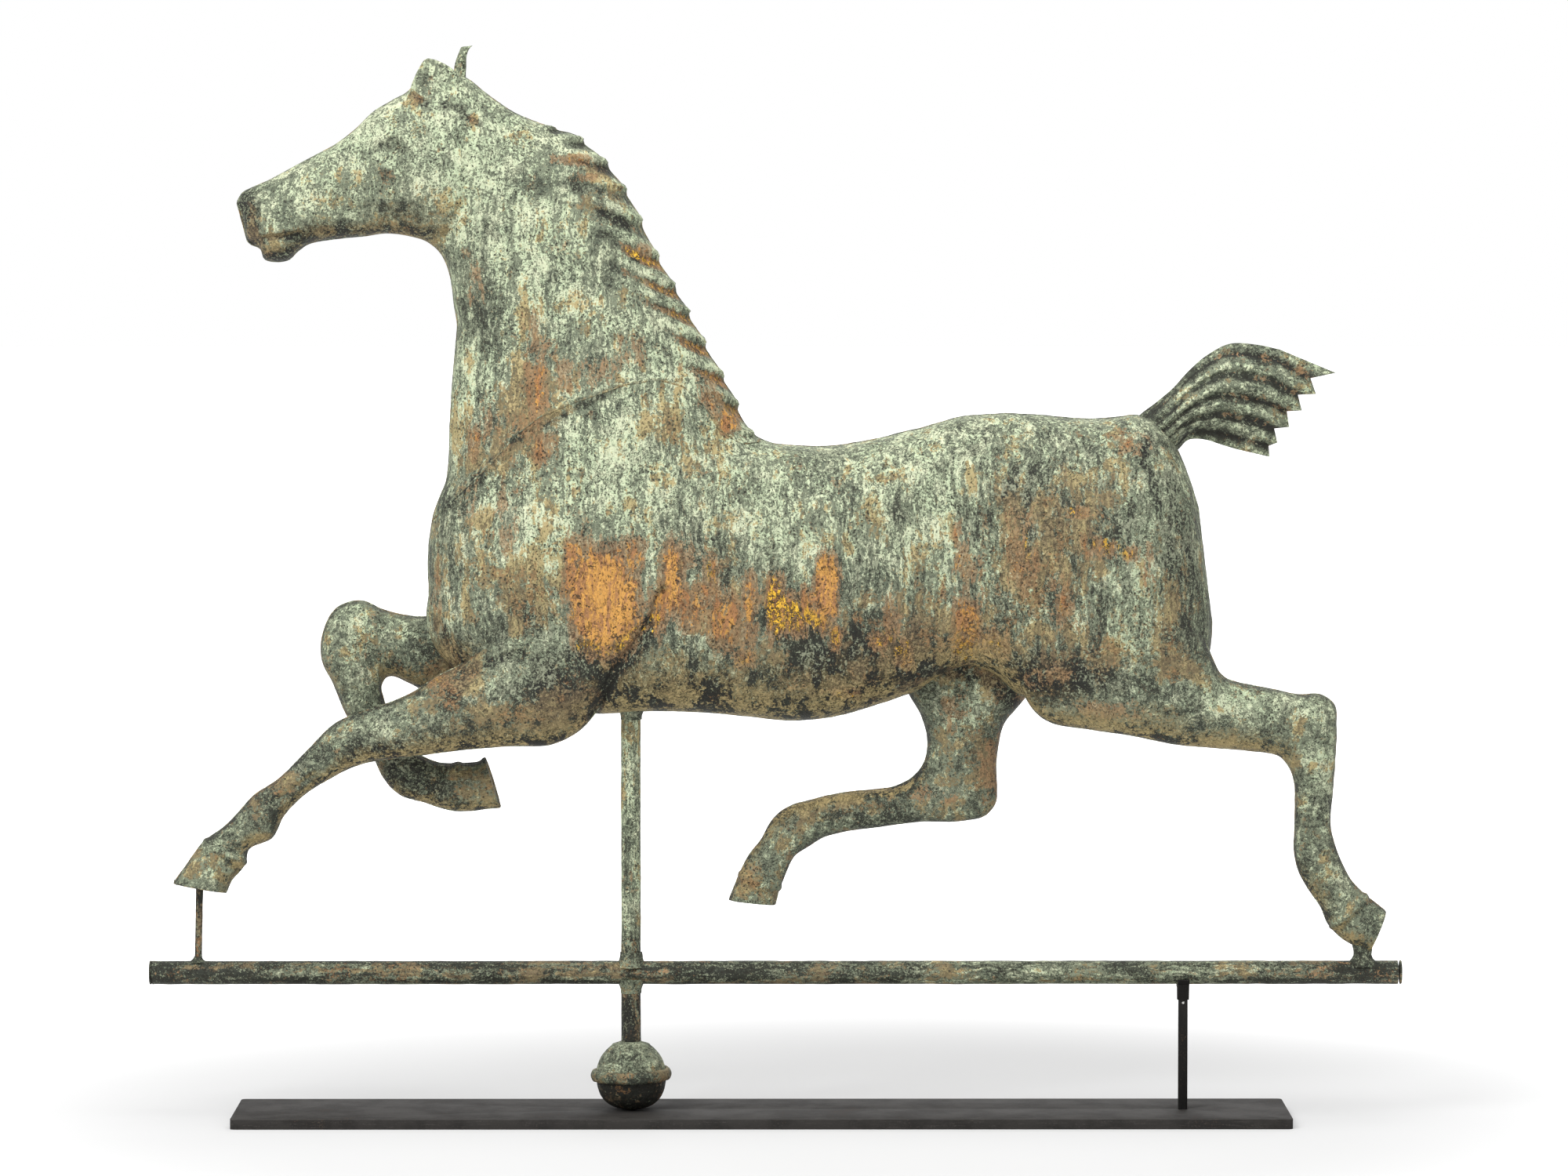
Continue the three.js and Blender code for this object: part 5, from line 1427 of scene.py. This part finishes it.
lower_copper = patinated(
    "ball_lower_copper", grain=(0.3, 0.3, 0.9),
    layers={"Runs": 0.5, "Pale": -0.26, "Brown": 0.06, "Dark": 0.5})


def bowl_outline(side, hole, collar):
    """A spun bowl from its rim at the middle to the hole at its pole, and back inside."""
    full = 1 if side > 0 else LOWER_FULLNESS

    def arc(radius, squash, count):
        top = math.acos((hole / radius) ** (1 / full))
        return [(radius * math.cos(turn) ** full,
                 side * (SEAM_GAP / 2 + radius * math.sin(turn) ** full * squash))
                for turn in np.linspace(0, top, count)]

    outer = [(radius + collar * math.exp(-((share - COLLAR_PLACE) / COLLAR_WIDTH) ** 2), height)
             for (radius, height), share in zip(
                 arc(BALL_RADIUS, 1 - SEAM_GAP, 40), np.linspace(0, 1, 40))]
    return outer + arc(BALL_RADIUS - BALL_WALL, 1, 30)[::-1]


for node, side, hole, collar, finish in (
        ("ball_upper_bowl", 1, UPPER_HOLE, COLLAR, ball_copper),
        ("ball_lower_bowl", -1, LOWER_HOLE, 0.0, lower_copper)):
    bowl = turned(f"{node}_spun", bowl_outline(side, hole, collar), (SPINDLE_X, 0, BALL_MIDDLE),
                  segments=96, dent=BOWL_DENT, seed=100 + side)
    on_vane(bowl, node, finish)

band_outline = [(BAND_INNER, -BAND_HALF), (BAND_SHOULDER, -BAND_HALF)]
for turn in np.linspace(-math.pi / 2, math.pi / 2, 17):
    band_outline.append((
        BAND_OUTER - BAND_ROUND + BAND_ROUND * math.cos(turn), BAND_ROUND_HALF * math.sin(turn)))
band_outline += [(BAND_SHOULDER, BAND_HALF), (BAND_INNER, BAND_HALF)]
band = turned("ball_seam_band_beaten", band_outline, (SPINDLE_X, 0, BALL_MIDDLE), segments=110,
              dent=BAND_DENT, seed=105, tilt=BAND_TILT, step=0.0009)
on_vane(band, "ball_seam_band", band_copper)

# Stand: a flat steel bar with a square post at its rear, blackened and waxed. The post carries a
# saddle that the crossbar rests in. Their edges are eased with a file and rubbed bright.
RUBBED = paint(112, 109, 103)
RUSTED = paint(74, 60, 48)
STEEL_SHADES = (0.78, 1.0, 1.3)
STEEL_BUMP = 0.4
STEEL_BUMP_DEPTH = 0.0002
STEEL_SHEEN = 0.12
FILED_SEGMENTS = 2


def stroked(tree, place, stroke):
    """Places drawn together along the way that a tool ran."""
    return reckon_place(tree, "MULTIPLY", place, stroke)


def blackened_steel(name, shade, stroke):
    """Steel under a waxed black oxide, scratched along its length, with its edges rubbed bright."""
    finish, tree, shader = new_finish(name)
    place = wire(tree, "ShaderNodeTexCoord").outputs["Object"]
    scratch = grained(tree, stroked(tree, place, stroke), 900.0, 3.0, 0.7)
    cloud = grained(tree, place, 26.0, 5.0, 0.66)
    dust = grained(tree, place, 800.0, 2.0, 0.6)
    deep, black, scraped = (paint(*(value * part for value in shade)) for part in STEEL_SHADES)
    colour = laid_over(tree, black, deep, ramped(tree, cloud, -0.08, 0.12))
    colour = laid_over(tree, colour, scraped, shown(tree, 0.04, 0.25, (scratch, 1.0), (dust, 0.6)))
    worn = shown(tree, 0.28, 0.62, (mark_on(tree, "edge"), 0.55), (scratch, 0.7), (cloud, 0.5))
    colour = laid_over(tree, colour, RUBBED, worn)
    colour = laid_over(tree, colour, RUSTED, shown(tree, 0.16, 0.3, (cloud, 1.0), (dust, 0.8)), 0.4)
    relief = summed(tree, (scratch, 1.0), (dust, 0.8))
    fed(tree, shader, {
        "Base Color": colour, "Specular IOR Level": STEEL_SHEEN,
        "Roughness": summed(
            tree, (scratch, 0.3), (cloud, 0.3), (worn, -0.15), (dust, 0.2), (1.0, 0.74)),
        "Normal": bumped(tree, relief, STEEL_BUMP, STEEL_BUMP_DEPTH)})
    return finish


def eased(name, node, width):
    """A copy of a CAD node with its edges filed round, and a mark on the filed edges."""
    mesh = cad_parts[node].data.copy()
    mesh.materials.clear()
    form = bmesh.new()
    form.from_mesh(mesh)
    bmesh.ops.remove_doubles(form, verts=form.verts, dist=1e-6)
    bmesh.ops.dissolve_limit(form, angle_limit=math.radians(1), verts=form.verts, edges=form.edges)
    sharp = [edge for edge in form.edges
             if len(edge.link_faces) == 2 and edge.calc_face_angle() > math.radians(30)]
    filed = bmesh.ops.bevel(form, geom=sharp, offset=width, segments=FILED_SEGMENTS, profile=0.5,
                            affect="EDGES", clamp_overlap=True)
    mark = form.verts.layers.float.new("edge")
    filed_faces = set(filed["faces"])
    for vertex in form.verts:
        vertex[mark] = 1.0 if filed_faces.issuperset(vertex.link_faces) else 0.0
    bmesh.ops.triangulate(form, faces=[face for face in form.faces if len(face.verts) > 4])
    form.to_mesh(mesh)
    form.free()
    mesh.name = name
    mesh.shade_smooth()
    mesh.set_sharp_from_angle(angle=math.radians(35))
    return placed(name, mesh)


bar_steel = blackened_steel("blackened_bar", (45, 43, 41), (0.06, 1, 1))
post_steel = blackened_steel("blackened_post", (26, 25, 24), (1, 1, 0.06))
for name, node, width, finish in (
        ("base_bar", "base_plate", 0.0005, bar_steel),
        ("rear_post", "prop_post", 0.0003, post_steel),
        ("filed_saddle", "saddle", 0.0002, post_steel)):
    piece = eased(name, node, width)
    piece.data.materials.append(finish)
    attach(piece, "stand")
    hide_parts(node)

# Bearing and fixings: a brass cap turns on the spindle's neck and carries a brass plug inside the
# upright; screws from below hold the spindle and the post, and a pin holds the saddle.
METAL_BUMP = 0.3
METAL_BUMP_DEPTH = 0.0001
METAL_SHINE = 0.9


def plain_metal(name, colour, dull, roughness, stroke):
    """Bare metal with fine marks of the lathe, dulled in clouds."""
    finish, tree, shader = new_finish(name)
    place = wire(tree, "ShaderNodeTexCoord").outputs["Object"]
    turning = grained(tree, stroked(tree, place, stroke), 1500.0, 2.0, 0.6)
    stain = grained(tree, place, 160.0, 3.0, 0.6)
    fed(tree, shader, {
        "Base Color": laid_over(
            tree, colour, dull, shown(tree, -0.05, 0.2, (stain, 1.0), (turning, 0.5))),
        "Roughness": reckon(tree, "MULTIPLY_ADD", turning, 0.3, roughness),
        "Metallic": METAL_SHINE, "Normal": bumped(tree, turning, METAL_BUMP, METAL_BUMP_DEPTH)})
    return finish


turned_brass = plain_metal(
    "turned_brass", paint(196, 158, 92), paint(136, 104, 60), 0.38, (0.1, 0.1, 1))
bright_screw = plain_metal(
    "bright_screw", paint(168, 168, 164), paint(112, 110, 104), 0.34, (0.3, 0.3, 1))
for nodes_of_kind, finish in (
        (("bearing_plug", "pivot_cap"), turned_brass), (("spindle",), post_steel),
        (("spindle_screw", "prop_screw", "saddle_pin"), bright_screw)):
    for node in nodes_of_kind:
        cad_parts[node].data.materials.clear()
        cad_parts[node].data.materials.append(finish)

# Stage: a pale floor, soft lamps and the camera at the height of the horse's back.
CAMERA_PLACE = (-0.0105, -5.45, 0.731)
CAMERA_PITCH = 3.2
CAMERA_YAW = 0.18
CAMERA_LENS = 157
CAMERA_SENSOR = 36
FLOOR_REACH = 30
FLOOR_LIT = (0.78, 0.78, 0.78, 1)
FLOOR_SEEN = (0.38, 0.38, 0.38, 1)
FLOOR_GLOW = (0.27, 0.9)
FLOOR_GLOW_REACH = (0.42, 1.3)
BACKDROP_GLOW = (0.36, 0.64)
WHITE = (1, 1, 1, 1)
LAMPS = [
    ("key_softbox", (-2.0, -2.8, 3.0), 2.0, 170), ("overhead_softbox", (0.2, -0.6, 3.2), 2.4, 75),
    ("side_softbox", (3.2, -2.2, 1.8), 2.2, 26), ("rear_softbox", (0.5, 3.4, 2.4), 2.4, 30),
]
LAMP_AIM = Vector((0, 0, 0.45))

floor_mesh = bpy.data.meshes.new("floor")
corners = [(x * FLOOR_REACH, y * FLOOR_REACH, 0) for x, y in ((-1, -1), (1, -1), (1, 1), (-1, 1))]
floor_mesh.from_pydata(corners, [], [(0, 1, 2, 3)])
placed("floor", floor_mesh)
floor_finish, tree, shader = new_finish("pale_floor")
rays = wire(tree, "ShaderNodeLightPath").outputs
seen = reckon(tree, "MAXIMUM", rays["Is Camera Ray"], rays["Is Glossy Ray"])
place = wire(tree, "ShaderNodeTexCoord").outputs["Object"]
away = wire(tree, "ShaderNodeVectorMath", {0: place}, operation="LENGTH").outputs["Value"]
near_glow, more_afar = FLOOR_GLOW
glow = reckon(tree, "MULTIPLY_ADD", ramped(tree, away, *FLOOR_GLOW_REACH), more_afar, near_glow)
fed(tree, shader, {
    "Base Color": laid_over(tree, FLOOR_LIT, FLOOR_SEEN, rays["Is Camera Ray"]),
    "Roughness": 0.9, "Emission Color": WHITE,
    "Emission Strength": times(tree, seen, glow)})
floor_mesh.materials.append(floor_finish)

world = bpy.data.worlds.new("studio")
bpy.context.scene.world = world
world.use_nodes = True
tree = world.node_tree
rays = wire(tree, "ShaderNodeLightPath").outputs
mirrored = reckon(tree, "MAXIMUM", rays["Is Glossy Ray"], rays["Is Transmission Ray"])
seen = reckon(tree, "MAXIMUM", rays["Is Camera Ray"], mirrored)
dim, brighter = BACKDROP_GLOW
fed(tree, tree.nodes["Background"], {
    "Color": WHITE, "Strength": reckon(tree, "MULTIPLY_ADD", seen, brighter, dim)})

for name, place, width, power in LAMPS:
    light = bpy.data.lights.new(name, "AREA")
    light.size = width
    light.energy = power
    lamp = placed(name, light)
    lamp.location = place
    lamp.rotation_euler = (LAMP_AIM - Vector(place)).to_track_quat("-Z", "Y").to_euler()

lens = bpy.data.cameras.new("camera")
lens.lens = CAMERA_LENS
lens.sensor_width = CAMERA_SENSOR
camera = placed("camera", lens)
camera.location = CAMERA_PLACE
camera.rotation_euler = (math.radians(90 - CAMERA_PITCH), 0, math.radians(-CAMERA_YAW))
bpy.context.scene.camera = camera
bpy.context.scene.view_settings.view_transform = "Standard"
